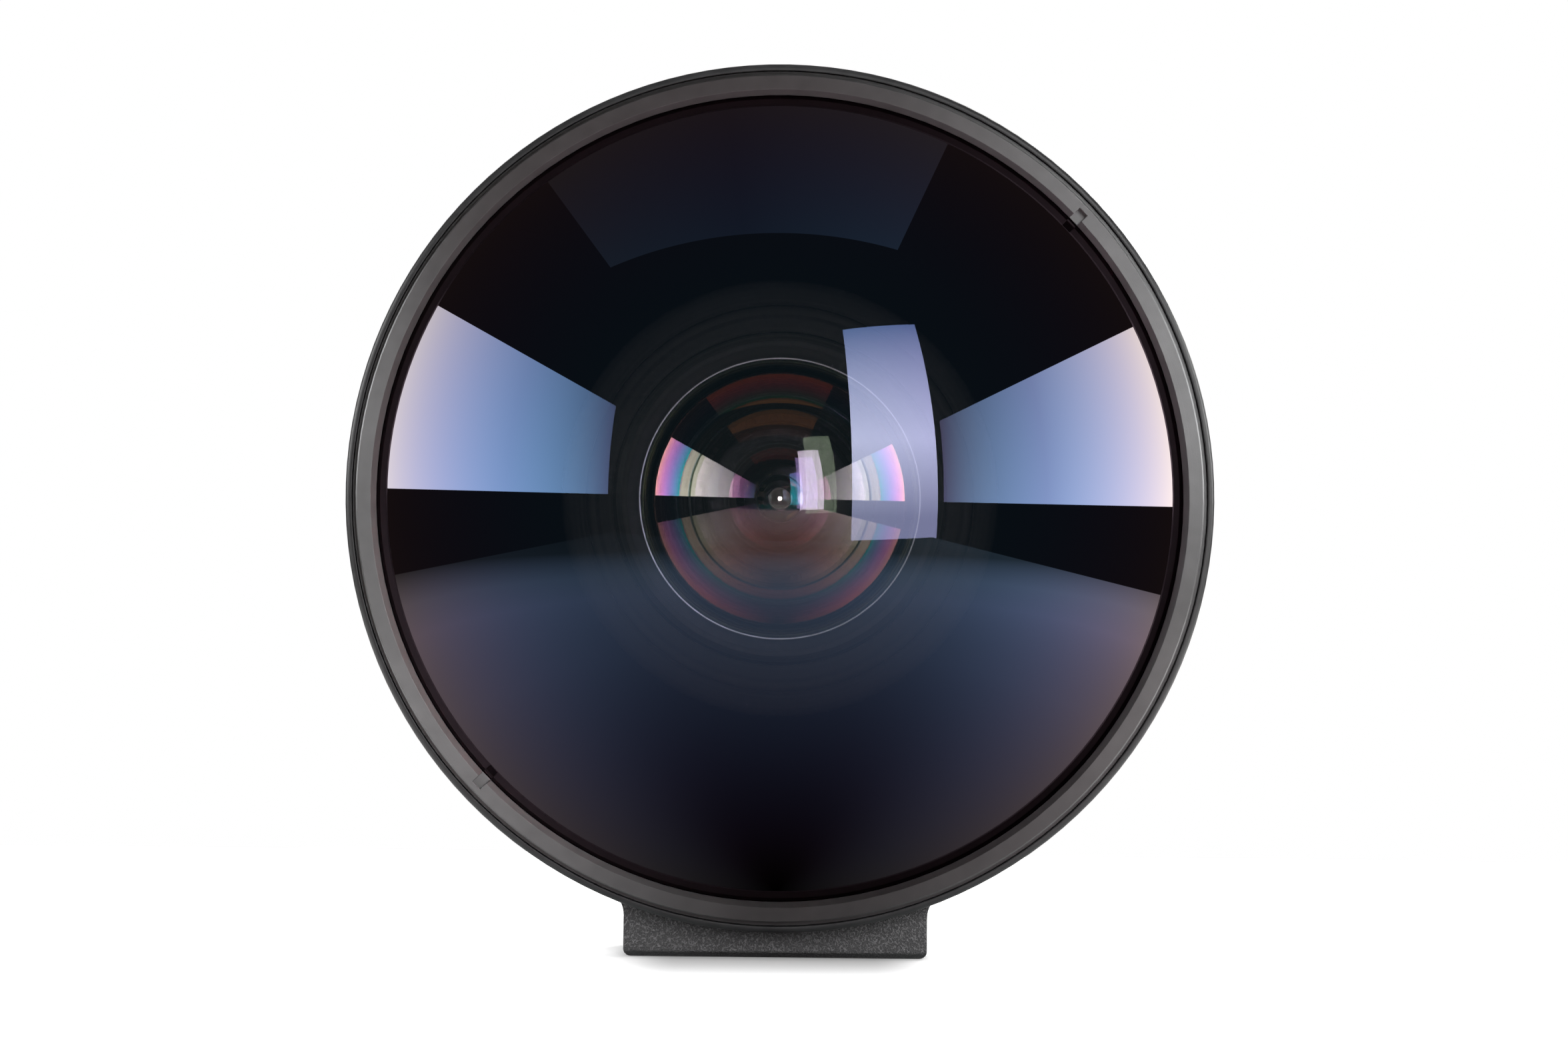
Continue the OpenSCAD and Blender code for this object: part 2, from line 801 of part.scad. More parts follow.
module turret_housing() {
    color([0.3, 0.3, 0.32])
        on_axis()
            difference() {
                union() {
                    rod(rear_bearing_r, z_housing, z_disc - 0.3);
                    difference() {
                        rod(crescent_r, z_disc - 1, z_cover);
                        translate([turret_x, 0, 0])
                            rod(disc_tip_r + 0.6, z_disc - 2, z_cover + 1);
                    }
                }
                rod(light_r, z_housing - 1, z_disc + 1);
                translate([turret_x, 0, 0])
                    rod(axle_r + 0.02, z_housing + 0.8, z_disc + 1);
                barrel_screw_places()
                    rod(1.6, z_housing - 1, z_cover + 1);
            }
}

module turret_disc() {
    color([0.62, 0.56, 0.36])
        on_axis()
            translate([turret_x, 0, z_disc])
                difference() {
                    linear_extrude(height = disc_t)
                        gear_outline(disc_teeth, disc_pitch_r - 1.25 * gear_module, disc_tip_r, -0.08);
                    rod(axle_r + 0.08, -1, disc_t + 1);
                    around(len(filter_names), turret_x, 180) {
                        rod(light_r, -1, disc_t + 1);
                        rod(filter_r + seat_fit, 0.8, disc_t + 1);
                    }
                }
}

module turret_axle() {
    color([0.7, 0.7, 0.7])
        on_axis()
            translate([turret_x, 0, 0])
                difference() {
                    union() {
                        rod(axle_r, z_housing + 0.9, z_disc + disc_t + 0.3);
                        rod(axle_r + 2, z_disc + disc_t + 0.15, z_cover - 0.15);
                    }
                    translate([-5, -0.4, z_cover - 0.7])
                        cube([10, 0.8, 2]);
                }
}

module filter_glass(k) {
    tints = [[0.85, 0.88, 0.9], [0.95, 0.85, 0.15], [0.5, 0.75, 0.2], [0.95, 0.5, 0.1], [0.8, 0.1, 0.1]];
    color(tints[k])
        on_axis()
            translate([turret_x, 0, z_disc])
                rotate([0, 0, 180 + k * 360 / len(filter_names)])
                    translate([turret_x, 0, 0])
                        rod(filter_r, 0.8, disc_t - 0.2);
}

module barrel_screws() {
    color([0.3, 0.3, 0.31])
        on_axis()
            barrel_screw_places()
                difference() {
                    union() {
                        rod(2.6, z_index + 0.2, z_index + 2);
                        rod(1.5, z_index + 1, z_scale - 0.8);
                    }
                    translate([-3, -0.4, z_index])
                        cube([6, 0.8, 0.9]);
                }
}

module iris_plate() {
    color([0.1, 0.1, 0.1])
        on_axis()
            difference() {
                turned()
                    band(iris_open_r + 0.4, chamber_r - seat_fit, z_iris_plate, z_housing);
                around(blade_count, pivot_r)
                    rod(iris_pin_r + 0.05, z_iris_plate - 1, z_iris_plate + 1.4);
            }
}

module blade_outline() {
    difference() {
        union() {
            intersection() {
                circle(blade_out_r, $fn = fine);
                polygon(concat([[0, 0]], [for (a = [-8:24:136]) polar(2 * blade_out_r, a)]));
            }
            intersection() {
                circle(pivot_r + 1.7, $fn = fine);
                polygon([polar(blade_out_r - 2, -5), polar(2 * pivot_r, -5),
                         polar(2 * pivot_r, 17), polar(blade_out_r - 2, 17)]);
            }
        }
        circle(iris_open_r, $fn = fine);
    }
}

module iris_blade(k) {
    z = z_blades + (k - 1) * blade_pitch;
    color([0.2, 0.2, 0.22])
        on_axis()
            rotate([0, 0, (k - 1) * 360 / blade_count]) {
                translate([0, 0, z])
                    linear_extrude(height = blade_t)
                        blade_outline();
                translate([pivot_r, 0, 0])
                    rod(iris_pin_r, z, z_iris_plate + 1.2);
                translate([pivot_r, drive_arm, 0])
                    rod(iris_pin_r, z_drive + 0.1, z + blade_t);
            }
}

// Curved slot that carries a blade's drive pin
module drive_slot() {
    n = 12;
    w = iris_pin_r + 0.12;
    path = [for (i = [0:n]) slot_point(i / n)];
    way = [for (i = [0:n]) path[min(i + 1, n)] - path[max(i - 1, 0)]];
    side = [for (v = way) [-v[1], v[0]] * w / norm(v)];
    polygon(concat(
        [for (i = [0:n]) path[i] + side[i]],
        [for (i = [n:-1:0]) path[i] - side[i]]
    ));
    for (p = [path[0], path[n]])
        translate(p)
            circle(w, $fn = 32);
}

module drive_ring() {
    color([0.35, 0.33, 0.28])
        on_axis()
            difference() {
                union() {
                    translate([0, 0, z_drive])
                        linear_extrude(height = drive_t)
                            difference() {
                                circle(pivot_r + 3.5, $fn = fine);
                                circle(pivot_r - 2.3, $fn = fine);
                                for (k = [0:blade_count - 1])
                                    rotate([0, 0, k * 360 / blade_count])
                                        drive_slot();
                            }
                    rotate([0, 0, link_angle])
                        translate([pivot_r + 2.4, -3, z_link - 1.8])
                            cube([5, 6, 3.6]);
                }
                link(link_r + 0.02, 3);
            }
}

// Radial pin that joins the drive ring to the aperture ring
module link(r, inner) {
    rotate([0, 0, link_angle])
        translate([0, 0, z_link])
            rotate([0, 90, 0])
                rod(r, pivot_r + inner, aperture_out_r - 1);
}

module link_pin() {
    color([0.7, 0.7, 0.7])
        on_axis()
            link(link_r, 3.2);
}

module aperture_ring() {
    color([0.07, 0.07, 0.075])
        on_axis()
            difference() {
                turned()
                    polygon([
                        [aperture_in_r, z_aperture], [aperture_out_r, z_aperture],
                        [aperture_out_r, z_aperture + 3], [aperture_out_r + 1, z_aperture + 3.6],
                        [aperture_out_r + 1, z_index - 3.2], [aperture_out_r, z_index - 2.6],
                        [aperture_out_r, z_index - run_gap], [aperture_in_r, z_index - run_gap]
                    ]);
                for (a = [15:15:330])
                    if (abs(a - 90) > 20)
                        rotate([0, 0, a])
                            translate([aperture_out_r + 3, 0, 0])
                                rod(3, z_aperture + 2.5, z_index - 2);
                link(link_r + 0.02, 3);
                rotate([0, 0, 90])
                    translate([aperture_out_r - 0.6, -5.1, z_aperture - 1])
                        cube([9, 10.2, aperture_l + 2]);
            }
}

module coupling_fork() {
    rise = 5.5;
    base = aperture_out_r - 0.6;
    color([0.75, 0.75, 0.76])
        on_axis()
            rotate([0, 0, 90])
                difference() {
                    translate([base, -5, z_aperture + 0.6])
                        cube([rise + 0.6, 10, 6.5]);
                    translate([base + 1.4, -5.5, z_aperture + 3.2])
                        cube([rise + 2, 11, 8]);
                    translate([base + 2, -1.8, z_aperture - 1])
                        cube([rise + 2, 3.6, 12]);
                    for (y = [-3.2, 3.2])
                        translate([base, y, z_aperture + 5.1])
                            rotate([0, 90, 0])
                                rod(0.9, -1, 4);
                }
}

module rear_barrel() {
    slot_edge = 1.5 + link_r / chamber_r * 180 / PI;
    color([0.06, 0.06, 0.065])
        on_axis()
            difference() {
                turned() {
                    band(chamber_r, flange_r + 1.5, mount_t, mount_t + skirt_l);
                    band(chamber_r, barrel_tube_r, mount_t, z_housing);
                    band(rear_cell_r + seat_fit, barrel_tube_r, z_bulkhead, z_bulkhead + bulkhead_t);
                    polygon([
                        [chamber_r, z_index], [index_r - 1.5, z_index], [index_r, z_index + 1.5],
                        [index_r, z_housing], [chamber_r, z_housing]
                    ]);
                }
                sector(link_angle - slot_edge, link_angle + aperture_turn + slot_edge)
                    band(chamber_r - 2, barrel_tube_r + 0.5, z_link - link_r - 0.2, z_link + link_r + 0.2);
                lever_slot(z_bulkhead - 1, z_lever);
                barrel_screw_places() {
                    rod(1.6, z_index - 1, z_housing + 1);
                    rod(2.75, z_index - 1, z_index + 2);
                }
                around(5, flange_r - 4.5, 20)
                    rod(0.95, mount_t - 1, mount_t + skirt_l - 0.6);
            }
}

module lever_slot(z0, z1) {
    sector(lever_angle - lever_half - 1.5, lever_angle + lever_half + lever_turn + 1.5)
        band(lever_in_r - 0.4, lever_out_r + 0.5, z0, z1);
}

module stop_lever() {
    color([0.7, 0.7, 0.71])
        on_axis() {
            turned()
                band(lever_out_r + 1, chamber_r - run_fit, z_lever, z_lever + lever_t);
            sector(lever_angle - lever_half, lever_angle + lever_half) {
                band(lever_in_r, lever_out_r + 2, z_lever, z_lever + lever_t);
                band(lever_in_r, lever_out_r, -spigot_l - 5, z_lever + 1);
            }
        }
}

module rear_cell() {
    z_top = z_bulkhead + bulkhead_t;
    color([0.05, 0.05, 0.055])
        on_axis()
            turned() {
                band(rear_glass_r + seat_fit, rear_cell_r, z_rear, z_top + 2);
                band(rear_glass_r - 1.8, rear_cell_r, z_top + 0.4, z_top + 2);
                band(rear_cell_r - 1, rear_cell_r + 1.6, z_top, z_top + 1);
                band(rear_glass_r - 1.2, rear_cell_r, z_rear + 5.4, z_rear + 7.3);
            }
}

module rear_doublet_front() {
    z1 = z_bulkhead + bulkhead_t;
    ball_r = 30;
    color([0.2, 0.25, 0.3])
        on_axis()
            turned()
                intersection() {
                    band(0, rear_glass_r, z_rear + 8, z1 + 4);
                    translate([0, z1 - 0.5 - sqrt(pow(ball_r, 2) - pow(rear_glass_r, 2))])
                        circle(ball_r, $fn = fine);
                    translate([0, z1 - 6.6 + 20])
                        circle(20, $fn = fine);
                }
}

module rear_doublet_back() {
    z1 = z_bulkhead + bulkhead_t;
    color([0.2, 0.3, 0.3])
        on_axis()
            turned()
                difference() {
                    band(0, rear_glass_r, z_rear + 7.4, z1 - 2);
                    translate([0, z1 - 6.6 + 20])
                        circle(20.1, $fn = fine);
                }
}

module rear_element() {
    ball_r = 35;
    sag = ball_r - sqrt(pow(ball_r, 2) - pow(rear_glass_r, 2));
    color([0.25, 0.3, 0.3])
        on_axis()
            turned()
                intersection() {
                    band(0, rear_glass_r, z_rear, z_rear + 8);
                    translate([0, z_rear + 4.8 + sag - ball_r])
                        circle(ball_r, $fn = fine);
                    translate([0, z_rear + 2.8 - sag + ball_r])
                        circle(ball_r, $fn = fine);
                }
}

module rear_retainer() {
    color([0.1, 0.1, 0.1])
        on_axis()
            turned()
                polygon([
                    [rear_glass_r - 2.2, z_rear + 0.2], [rear_glass_r, z_rear + 0.2],
                    [rear_glass_r, z_rear + 2.6], [rear_glass_r - 1.2, z_rear + 1.9]
                ]);
}

module rear_baffle() {
    color([0.03, 0.03, 0.03])
        on_axis()
            difference() {
                turned()
                    band(rear_cell_r + 0.3, throat_r - 0.1, 0.4, 1.6);
                lever_slot(-1, 3);
            }
}

module mount_plate() {
    lug_t = 1.6;
    color([0.78, 0.78, 0.79])
        on_axis()
            difference() {
                union() {
                    turned() {
                        band(throat_r, flange_r, 0, mount_t);
                        band(throat_r, throat_r + 1.7, -spigot_l, 1);
                    }
                    for (a = [10, 130, 250])
                        sector(a, a + 56)
                            band(throat_r + 1, throat_r + 3.2, -spigot_l, lug_t - spigot_l);
                }
                around(5, flange_r - 4.5, 20) {
                    rod(1.05, -1, mount_t + 1);
                    rod(1.95, -1, 1.2);
                }
                rotate([0, 0, -25])
                    translate([flange_r - 2.2, 0, 0])
                        rod(1.2, -1, 1.6);
            }
}

module mount_screws() {
    color([0.6, 0.6, 0.61])
        on_axis()
            around(5, flange_r - 4.5, 20)
                difference() {
                    union() {
                        rod(1.85, 0.1, 1.2);
                        rod(0.9, 1, mount_t + skirt_l - 0.8);
                    }
                    for (a = [0, 90])
                        rotate([0, 0, a])
                            translate([-1, -0.2, 0])
                                cube([2, 0.4, 0.6]);
                }
}

front_element();
front_retainer();
front_barrel();
glass_gasket();
bell_casing();
tripod_foot();
foot_screws();
tripod_bush_large();
tripod_bush_small();
front_cell();
cell_screws();
second_element();
second_retainer();
focus_tube();
third_element();
third_retainer();
doublet_front();
doublet_rear();
doublet_retainer();
cam_followers();
mid_barrel();
neck_screws();
focus_ring();
focus_grip();
filter_ring();
selector_gear();
turret_housing();
turret_disc();
turret_axle();
for (k = [0:len(filter_names) - 1])
    filter_glass(k);
barrel_screws();
iris_plate();
for (k = [1:blade_count])
    iris_blade(k);
drive_ring();
link_pin();
aperture_ring();
coupling_fork();
rear_barrel();
stop_lever();
rear_cell();
rear_doublet_front();
rear_doublet_back();
rear_element();
rear_retainer();
rear_baffle();
mount_plate();
mount_screws();
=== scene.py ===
"""Looks and studio of a circular fisheye lens with a domed front glass, standing on a white table."""

import json
import math

import bmesh
import bpy
from mathutils import Matrix, Vector


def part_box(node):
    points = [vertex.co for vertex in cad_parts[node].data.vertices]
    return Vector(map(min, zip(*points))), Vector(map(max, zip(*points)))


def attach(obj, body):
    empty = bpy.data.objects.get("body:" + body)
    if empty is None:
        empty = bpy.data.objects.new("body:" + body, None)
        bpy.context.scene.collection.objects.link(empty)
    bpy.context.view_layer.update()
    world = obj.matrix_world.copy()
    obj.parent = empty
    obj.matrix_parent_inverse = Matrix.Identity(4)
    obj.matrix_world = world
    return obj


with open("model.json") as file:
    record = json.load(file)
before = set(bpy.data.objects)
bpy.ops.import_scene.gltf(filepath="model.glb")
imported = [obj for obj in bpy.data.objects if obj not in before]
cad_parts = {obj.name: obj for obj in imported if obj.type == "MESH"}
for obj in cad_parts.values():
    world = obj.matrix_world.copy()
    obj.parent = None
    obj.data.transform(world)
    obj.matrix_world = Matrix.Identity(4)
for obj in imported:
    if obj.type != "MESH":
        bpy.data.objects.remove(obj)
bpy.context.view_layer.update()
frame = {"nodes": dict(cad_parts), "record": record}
nodes = frame["nodes"]

# Sizes that the frame gives, in metres
MM = 0.001
rim_low, rim_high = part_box("front_barrel")
AXIS_H = (rim_low.z + rim_high.z) / 2
RIM_R = (rim_high.x - rim_low.x) / 2
RIM_FRONT = rim_low.y
DOME_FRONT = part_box("front_element")[0].y

# The photograph's frame, and where it shows the rim, in pixels
IMAGE_W, IMAGE_H = 2352, 1568
RIM_PX_X, RIM_PX_Y, RIM_PX_R = 1169.9, 748.1, 652.2
LENS_ROLL = math.radians(0.63)
CAMERA_DISTANCE = 1.6
SENSOR_W = 36.0
CLIP_NEAR, CLIP_FAR = 0.05, 50.0

# Coatings: index of glass and film, and the film's thickness in nanometres by the cosine of the slope
DOME_INDEX, DOME_FILM_INDEX = 1.6, 1.85
DOME_FILM = ((0.0, 0.0), (0.25, 92.0), (0.5, 130.0), (0.75, 159.0), (1.0, 184.0))
SECOND_INDEX, SECOND_FILM_INDEX = 1.45, 1.7
FILM_STEP, FILM_END, FILM_JUMP = 0.8696, 0.892, 0.0005
SECOND_FILM = ((0.7, 250.0), (0.777, 305.0), (0.8085, 331.0), (0.8367, 350.0), (0.862, 368.0),
               (FILM_STEP, 390.0), (FILM_STEP + FILM_JUMP, 94.0),
               (FILM_END, 94.0), (FILM_END + FILM_JUMP, 0.0))
INNER_INDEX, INNER_FILM_INDEX = 1.6, 1.7
THIRD_FILM, INNER_FILM = ((0.0, 93.0), (1.0, 93.0)), ((0.0, 60.0), (1.0, 60.0))

# Shares that the inner glasses reflect: in front near the axis, and at the back, the third's by its radius
SECOND_INNER, SECOND_BACK = (0.43, 0.62, 0.3), (0.8, 0.65, 1.0)
THIRD_BACK = ((5 * MM, (0.0, 0.7, 0.6)), (8 * MM, (0.35, 0.3, 0.8)), (12 * MM, (1.0, 0.35, 0.8)))
INNER_FRONT, INNER_BACK = (0.15, 0.2, 0.2), (0.1, 0.1, 0.1)

# Reading a glass's curve from its mesh: the share of its radius used, the least slope, and flat surfaces
CURVE_SHARE, CURVE_SLOPE = 0.6, 0.2
FLAT_SPREAD, FAR_AWAY = 1e-12, 1000.0

# Radii, in metres: where the dome turns from clear to a painted black that stands in for the shaded cell
# behind it, and a line of bare metal on the second ring
DOME_CLEAR = (40 * MM, 58 * MM)
SECOND_LINE, LINE_SOFT = (38.2 * MM, 38.7 * MM), 0.1 * MM

# What most of a noise lies within, and how edges wear: rays of the bevel, its span, and gaps in the wear
SPREAD = (0.3, 0.7)
BEVEL_RAYS, WORN_SPAN, BROKEN_SPAN = 6, (0.97, 0.8), (0.4, 0.65)

# Metals, the dyes of the filters, and the pitches of the tripod threads
METAL_EDGE, METAL_BUMP, METAL_WEAR = 0.25 * MM, 0.012 * MM, 2.2
METALS = {
    "satin_grey": {"dark": (0.172, 0.173, 0.175), "light": (0.2, 0.201, 0.203), "rough": 0.45,
                   "grain": 0.3 * MM, "marks": 0.35 * MM, "brushed": 0.85},
    "black_anodised": {"dark": (0.008, 0.008, 0.0085), "light": (0.012, 0.012, 0.0125), "rough": 0.34,
                       "grain": 0.25 * MM, "marks": 0.3 * MM, "metallic": 0.0},
    "helicoid_brass": {"dark": (0.03, 0.027, 0.022), "light": (0.045, 0.04, 0.032), "rough": 0.4,
                       "grain": 0.3 * MM, "marks": 0.3 * MM},
    "gear_brass": {"dark": (0.5, 0.36, 0.13), "light": (0.62, 0.46, 0.2), "rough": 0.26, "marks": 0.25 * MM},
    "steel": {"dark": (0.3, 0.3, 0.31), "light": (0.4, 0.4, 0.41), "rough": 0.3},
    "black_screw": {"dark": (0.02, 0.02, 0.021), "light": (0.035, 0.035, 0.037), "rough": 0.32},
    "bush_steel": {"dark": (0.4, 0.39, 0.38), "light": (0.5, 0.49, 0.47), "rough": 0.3},
    "mount_chrome": {"dark": (0.55, 0.54, 0.52), "light": (0.66, 0.65, 0.63), "rough": 0.2,
                     "marks": 0.15 * MM},
}
FILTER_DYES = {"clear": (0.95, 0.97, 0.95), "yellow": (0.95, 0.78, 0.08), "green": (0.2, 0.62, 0.12),
               "orange": (0.95, 0.36, 0.03), "red": (0.75, 0.03, 0.02)}
THREAD_PITCHES = {"tripod_bush_large": 1.5875 * MM, "tripod_bush_small": 1.27 * MM}

# Painted marks of the rings, in metres: their depth, the bare bands along the axis, and the bands' radii
MARK_SINK, MARK_RISE, MARK_WELD = 0.1 * MM, 0.06 * MM, 0.001 * MM
FOCUS_BAND, FOCUS_R = (38.25 * MM, 43.25 * MM), 46.6 * MM
SCALE_BAND = (43.5 * MM, 47.0 * MM)
FILTER_BAND, FILTER_R = (47.75 * MM, 49.25 * MM), 44.975 * MM
INDEX_BAND, INDEX_R = (58.5 * MM, 61.0 * MM), 45.975 * MM
APERTURE_BAND, APERTURE_R = (69.75 * MM, 72.75 * MM), 33.1 * MM
SKIRT_BAND, SKIRT_R = (73.0 * MM, 76.5 * MM), 32.5 * MM

# What the marks show: heights of numbers, widths and lengths of lines, radii of dots, and how far in they are
WHITE_PAINT = (0.72, 0.72, 0.7)
NEAREST, FOCUS_TURN = 0.3, math.radians(90)
DISTANCES = (2, 1, 0.7, 0.5, 0.4, 0.3)
DISTANCE_H, ENDLESS_H, DISTANCE_IN = 2.1 * MM, 1.5 * MM, 1.9 * MM
DISTANCE_LINE, DISTANCE_LINE_IN = (0.35 * MM, 1.1 * MM), 0.75 * MM
INDEX_W, INDEX_SHORT = 0.6 * MM, 0.5 * MM
DEPTH_TURNS, DEPTH_LINE, DEPTH_IN = (5.0, 9.0, 16.0), (0.3 * MM, 1.5 * MM), 1.0 * MM
STOPS = ("2.8", "4", "5.6", "8", "11", "16", "22")
STOP_STEP, STOP_INDEX = math.radians(6), math.radians(13)
STOP_H, STOP_LINE, STOP_IN = 1.5 * MM, (0.5 * MM, 2.2 * MM), 1.4 * MM
FILTER_DOT, MOUNT_DOT, DOT_SIDES = 0.6 * MM, 0.8 * MM, 24
FILTER_PAINTS = {"clear": (0.7, 0.7, 0.68), "yellow": (0.75, 0.55, 0.04), "green": (0.06, 0.36, 0.08),
                 "orange": (0.75, 0.2, 0.02), "red": (0.5, 0.02, 0.02)}
TURN_SLACK = 0.1

# Studio panels, in metres: two at the sides, a tall strip by the camera, a ceiling and a small disc behind
SIDE_X = 0.8
SIDE_FRONT = {-1: -1.32 * SIDE_X, 1: -1.41 * SIDE_X}
SIDE_BACK = 0.06 * SIDE_X
SIDE_LOW = {-1: 0.015 * SIDE_X, 1: -0.01 * SIDE_X}
SIDE_HIGH = {-1: 0.55 * SIDE_X, 1: 0.5 * SIDE_X}
STRIP_DISTANCE = 2.0
STRIP_ANGLES = (math.radians(16), math.radians(35.4))
STRIP_RISE, STRIP_FOOT = math.radians(37.5), -0.3
CEILING_H = 1.2
CEILING_EDGES = (-0.75 * CEILING_H, 0.46 * CEILING_H, -0.6 * CEILING_H, 0.9 * CEILING_H)
BACK_Y, BACK_R, BACK_SIDES = 0.4, 0.015, 24
PLAIN_REACH = 0.98

# Radiance of the panels from end to end: what the dome mirrors, and what only the glass behind it mirrors
SIDE_STOPS, STRIP_STOPS, CEILING_STOPS = (0.0, 0.55, 1.0), (0.15, 0.45, 1.0), (0.0, 0.5, 1.0)
SIDE_GLOW = {-1: ((1.6, 1.0, 1.3), (4.25, 4.45, 4.6), (7.1, 8.9, 8.1)),
             1: ((1.65, 0.72, 0.9), (5.1, 4.4, 4.5), (10.2, 12.0, 9.8))}
STRIP_GLOW = ((4.4, 2.06, 2.33), (11.8, 5.4, 5.35), (2.2, 1.6, 2.1))
CEILING_GLOW = ((0.17, 0.175, 0.16), (0.14, 0.133, 0.14), (0.22, 0.24, 0.24))
SIDE_FADE, CEILING_FADE = 0.7, 0.4
INNER_SIDE_GLOW = {-1: ((2.2,) * 3, (4.6,) * 3, (9.4,) * 3), 1: ((0.9,) * 3, (2.9,) * 3, (9.8,) * 3)}
INNER_STRIP_GLOW = ((6.3, 5.6, 8.0),) * 3
INNER_CEILING_GLOW = ((0.3, 0.14, 0.06),) * 3
BACK_GLOW = 4.0

# Light that the table sends up, by the distance from the rim, dark near the rim as a painted shadow of the
# lens, with a tint ahead and one to the sides
TABLE_EDGES, INNER_TABLE_BACK = (-0.6, 0.52, -0.8, 1.2), 0.1
TABLE_STOPS = ((0.0, (0.0, 0.0, 0.0)), (0.04, (0.075, 0.07, 0.07)), (0.18, (0.41, 0.335, 0.34)),
               (0.32, (0.67, 0.53, 0.54)), (0.42, (0.62, 0.52, 0.5)), (0.62, (0.17, 0.15, 0.125)))
INNER_TABLE_STOPS = ((0.0, (0.0, 0.0, 0.0)), (0.1, (0.4, 0.16, 0.11)), (0.25, (0.6, 0.46, 0.44)),
                     (1.0, (0.8, 0.66, 0.64)))
TABLE_TILT, ASIDE_POWER = 0.8, 4.0
TABLE_AHEAD, TABLE_ASIDE = (0.98, 0.78, 0.87), (1.0, 1.3, 1.22)

# The floor, with a close painted shade at the foot and a wide painted shadow ahead of it and behind
FLOOR_EDGES = (-0.7, 0.7, -0.7, 0.45)
FLOOR_H, PLAIN_TABLE_H, TABLE_H, INNER_TABLE_H = -0.2 * MM, -0.3 * MM, -0.35 * MM, -0.4 * MM
FLOOR_TONE, FLOOR_GLOW = 0.86, 0.6
CONTACT_GLOW, CONTACT_REACH = 0.5, 0.004
SHADE_REACH, SHADE_IN, SHADE_OUT, SHADE_LEFT = 0.12, 0.02, 0.008, 0.36

# The room: a dark one for mirrors, pale behind the lens, and even light for paint
ROOM_GLOW, INNER_ROOM, FILL_GLOW = (0.065, 0.056, 0.05), 0.3, 0.35
REAR_GLOW, REAR_LEAST, REAR_SPAN, REAR_RISE = 0.9, 0.4, (0.45, 0.9), (-0.3, 0.7)

# Lamps: place and size in metres, and radiance
TOP_LIGHT = ((0.0, 0.0, 1.6), 2.0, 8.0)
FRONT_LIGHT = ((0.1, -2.0, 0.6), 1.0, 20.5)
REAR_LIGHT = ((0.9, 1.3, 0.9), 0.9, 8.0)

# Bounces of light: many, for the stack of glass
MOST_BOUNCES, GLOSSY_BOUNCES = 32, 12


# Node helpers

def put(tree, socket, value):
    """Links a socket to a socket, or sets a plain value on it."""
    if isinstance(value, bpy.types.NodeSocket):
        tree.links.new(value, socket)
    else:
        socket.default_value = value


def add(tree, kind, values=None, **settings):
    """A new shader node with its settings and inputs, by name or by place."""
    node = tree.nodes.new("ShaderNode" + kind)
    for key, value in settings.items():
        setattr(node, key, value)
    for key, value in (values or {}).items():
        put(tree, node.inputs[key], value)
    return node


def new_material(name, **values):
    """A material with one Principled shader, and plain values on its sockets."""
    mat = bpy.data.materials.new(name)
    mat.use_nodes = True
    shader = mat.node_tree.nodes["Principled BSDF"]
    for key, value in values.items():
        socket = shader.inputs[key.replace("_", " ").title().replace("Ior", "IOR")]
        socket.default_value = (*value, 1.0) if isinstance(value, tuple) else value
    return mat, mat.node_tree, shader


def bare_material(name):
    """A material without any nodes yet."""
    mat = bpy.data.materials.new(name)
    mat.use_nodes = True
    mat.node_tree.nodes.clear()
    return mat, mat.node_tree


def grey(level):
    return (level, level, level)


def math_node(tree, operation, first, second=0.0):
    return add(tree, "Math", {0: first, 1: second}, operation=operation).outputs[0]


def vector_node(tree, operation, first, second, output=0):
    return add(tree, "VectorMath", {0: first, 1: second}, operation=operation).outputs[output]


def places(tree):
    """Object coordinates: the frame's own metres, since every piece sits at the origin."""
    return add(tree, "TexCoord").outputs["Object"]


def place_on(tree, axis):
    """The place along X, Y or Z, in metres."""
    return add(tree, "SeparateXYZ", {0: places(tree)}).outputs[axis]


def from_axis(tree):
    """Distance from the optical axis, in metres."""
    flat = vector_node(tree, "MULTIPLY", places(tree), (1, 0, 1))
    return vector_node(tree, "DISTANCE", flat, (0, 0, AXIS_H), "Value")


def noise(tree, size, detail=3.0):
    """Soft noise with features about as large as size, in metres."""
    values = {"Vector": places(tree), "Scale": 1 / size, "Detail": detail, "Roughness": 0.55}
    return add(tree, "TexNoise", values).outputs["Fac"]


def tool_marks(tree, pitch):
    """Fine rings left by turning, on faces and on round walls alike."""
    walk = math_node(tree, "ADD", from_axis(tree), place_on(tree, "Y"))
    values = {"W": walk, "Scale": 1 / pitch, "Detail": 2.0}
    return add(tree, "TexNoise", values, noise_dimensions="1D").outputs["Fac"]


def ramp(tree, value, low, high, from_low, from_high, course="LINEAR"):
    """Maps a value to a span of numbers, held at its ends."""
    values = {"Value": value, "From Min": from_low, "From Max": from_high, "To Min": low, "To Max": high}
    return add(tree, "MapRange", values, interpolation_type=course).outputs["Result"]


def tint(tree, value, *stops):
    """Colour over a value: each stop is a place from 0 to 1 and a colour or a grey."""
    node = add(tree, "ValToRGB", {"Fac": value})
    points = node.color_ramp.elements
    while len(points) < len(stops):
        points.new(0.5)
    for point, (place, colour) in zip(points, stops):
        point.position = place
        point.color = (*(colour if isinstance(colour, tuple) else grey(colour)), 1.0)
    return node.outputs["Color"]


def mottled(tree, size, first, second):
    """A colour that wanders between two, in patches of a size."""
    return tint(tree, noise(tree, size), *zip(SPREAD, (first, second)))


def bevel(tree, radius):
    """Normals of edges rounded to a radius."""
    return add(tree, "Bevel", {"Radius": radius}, samples=BEVEL_RAYS).outputs[0]


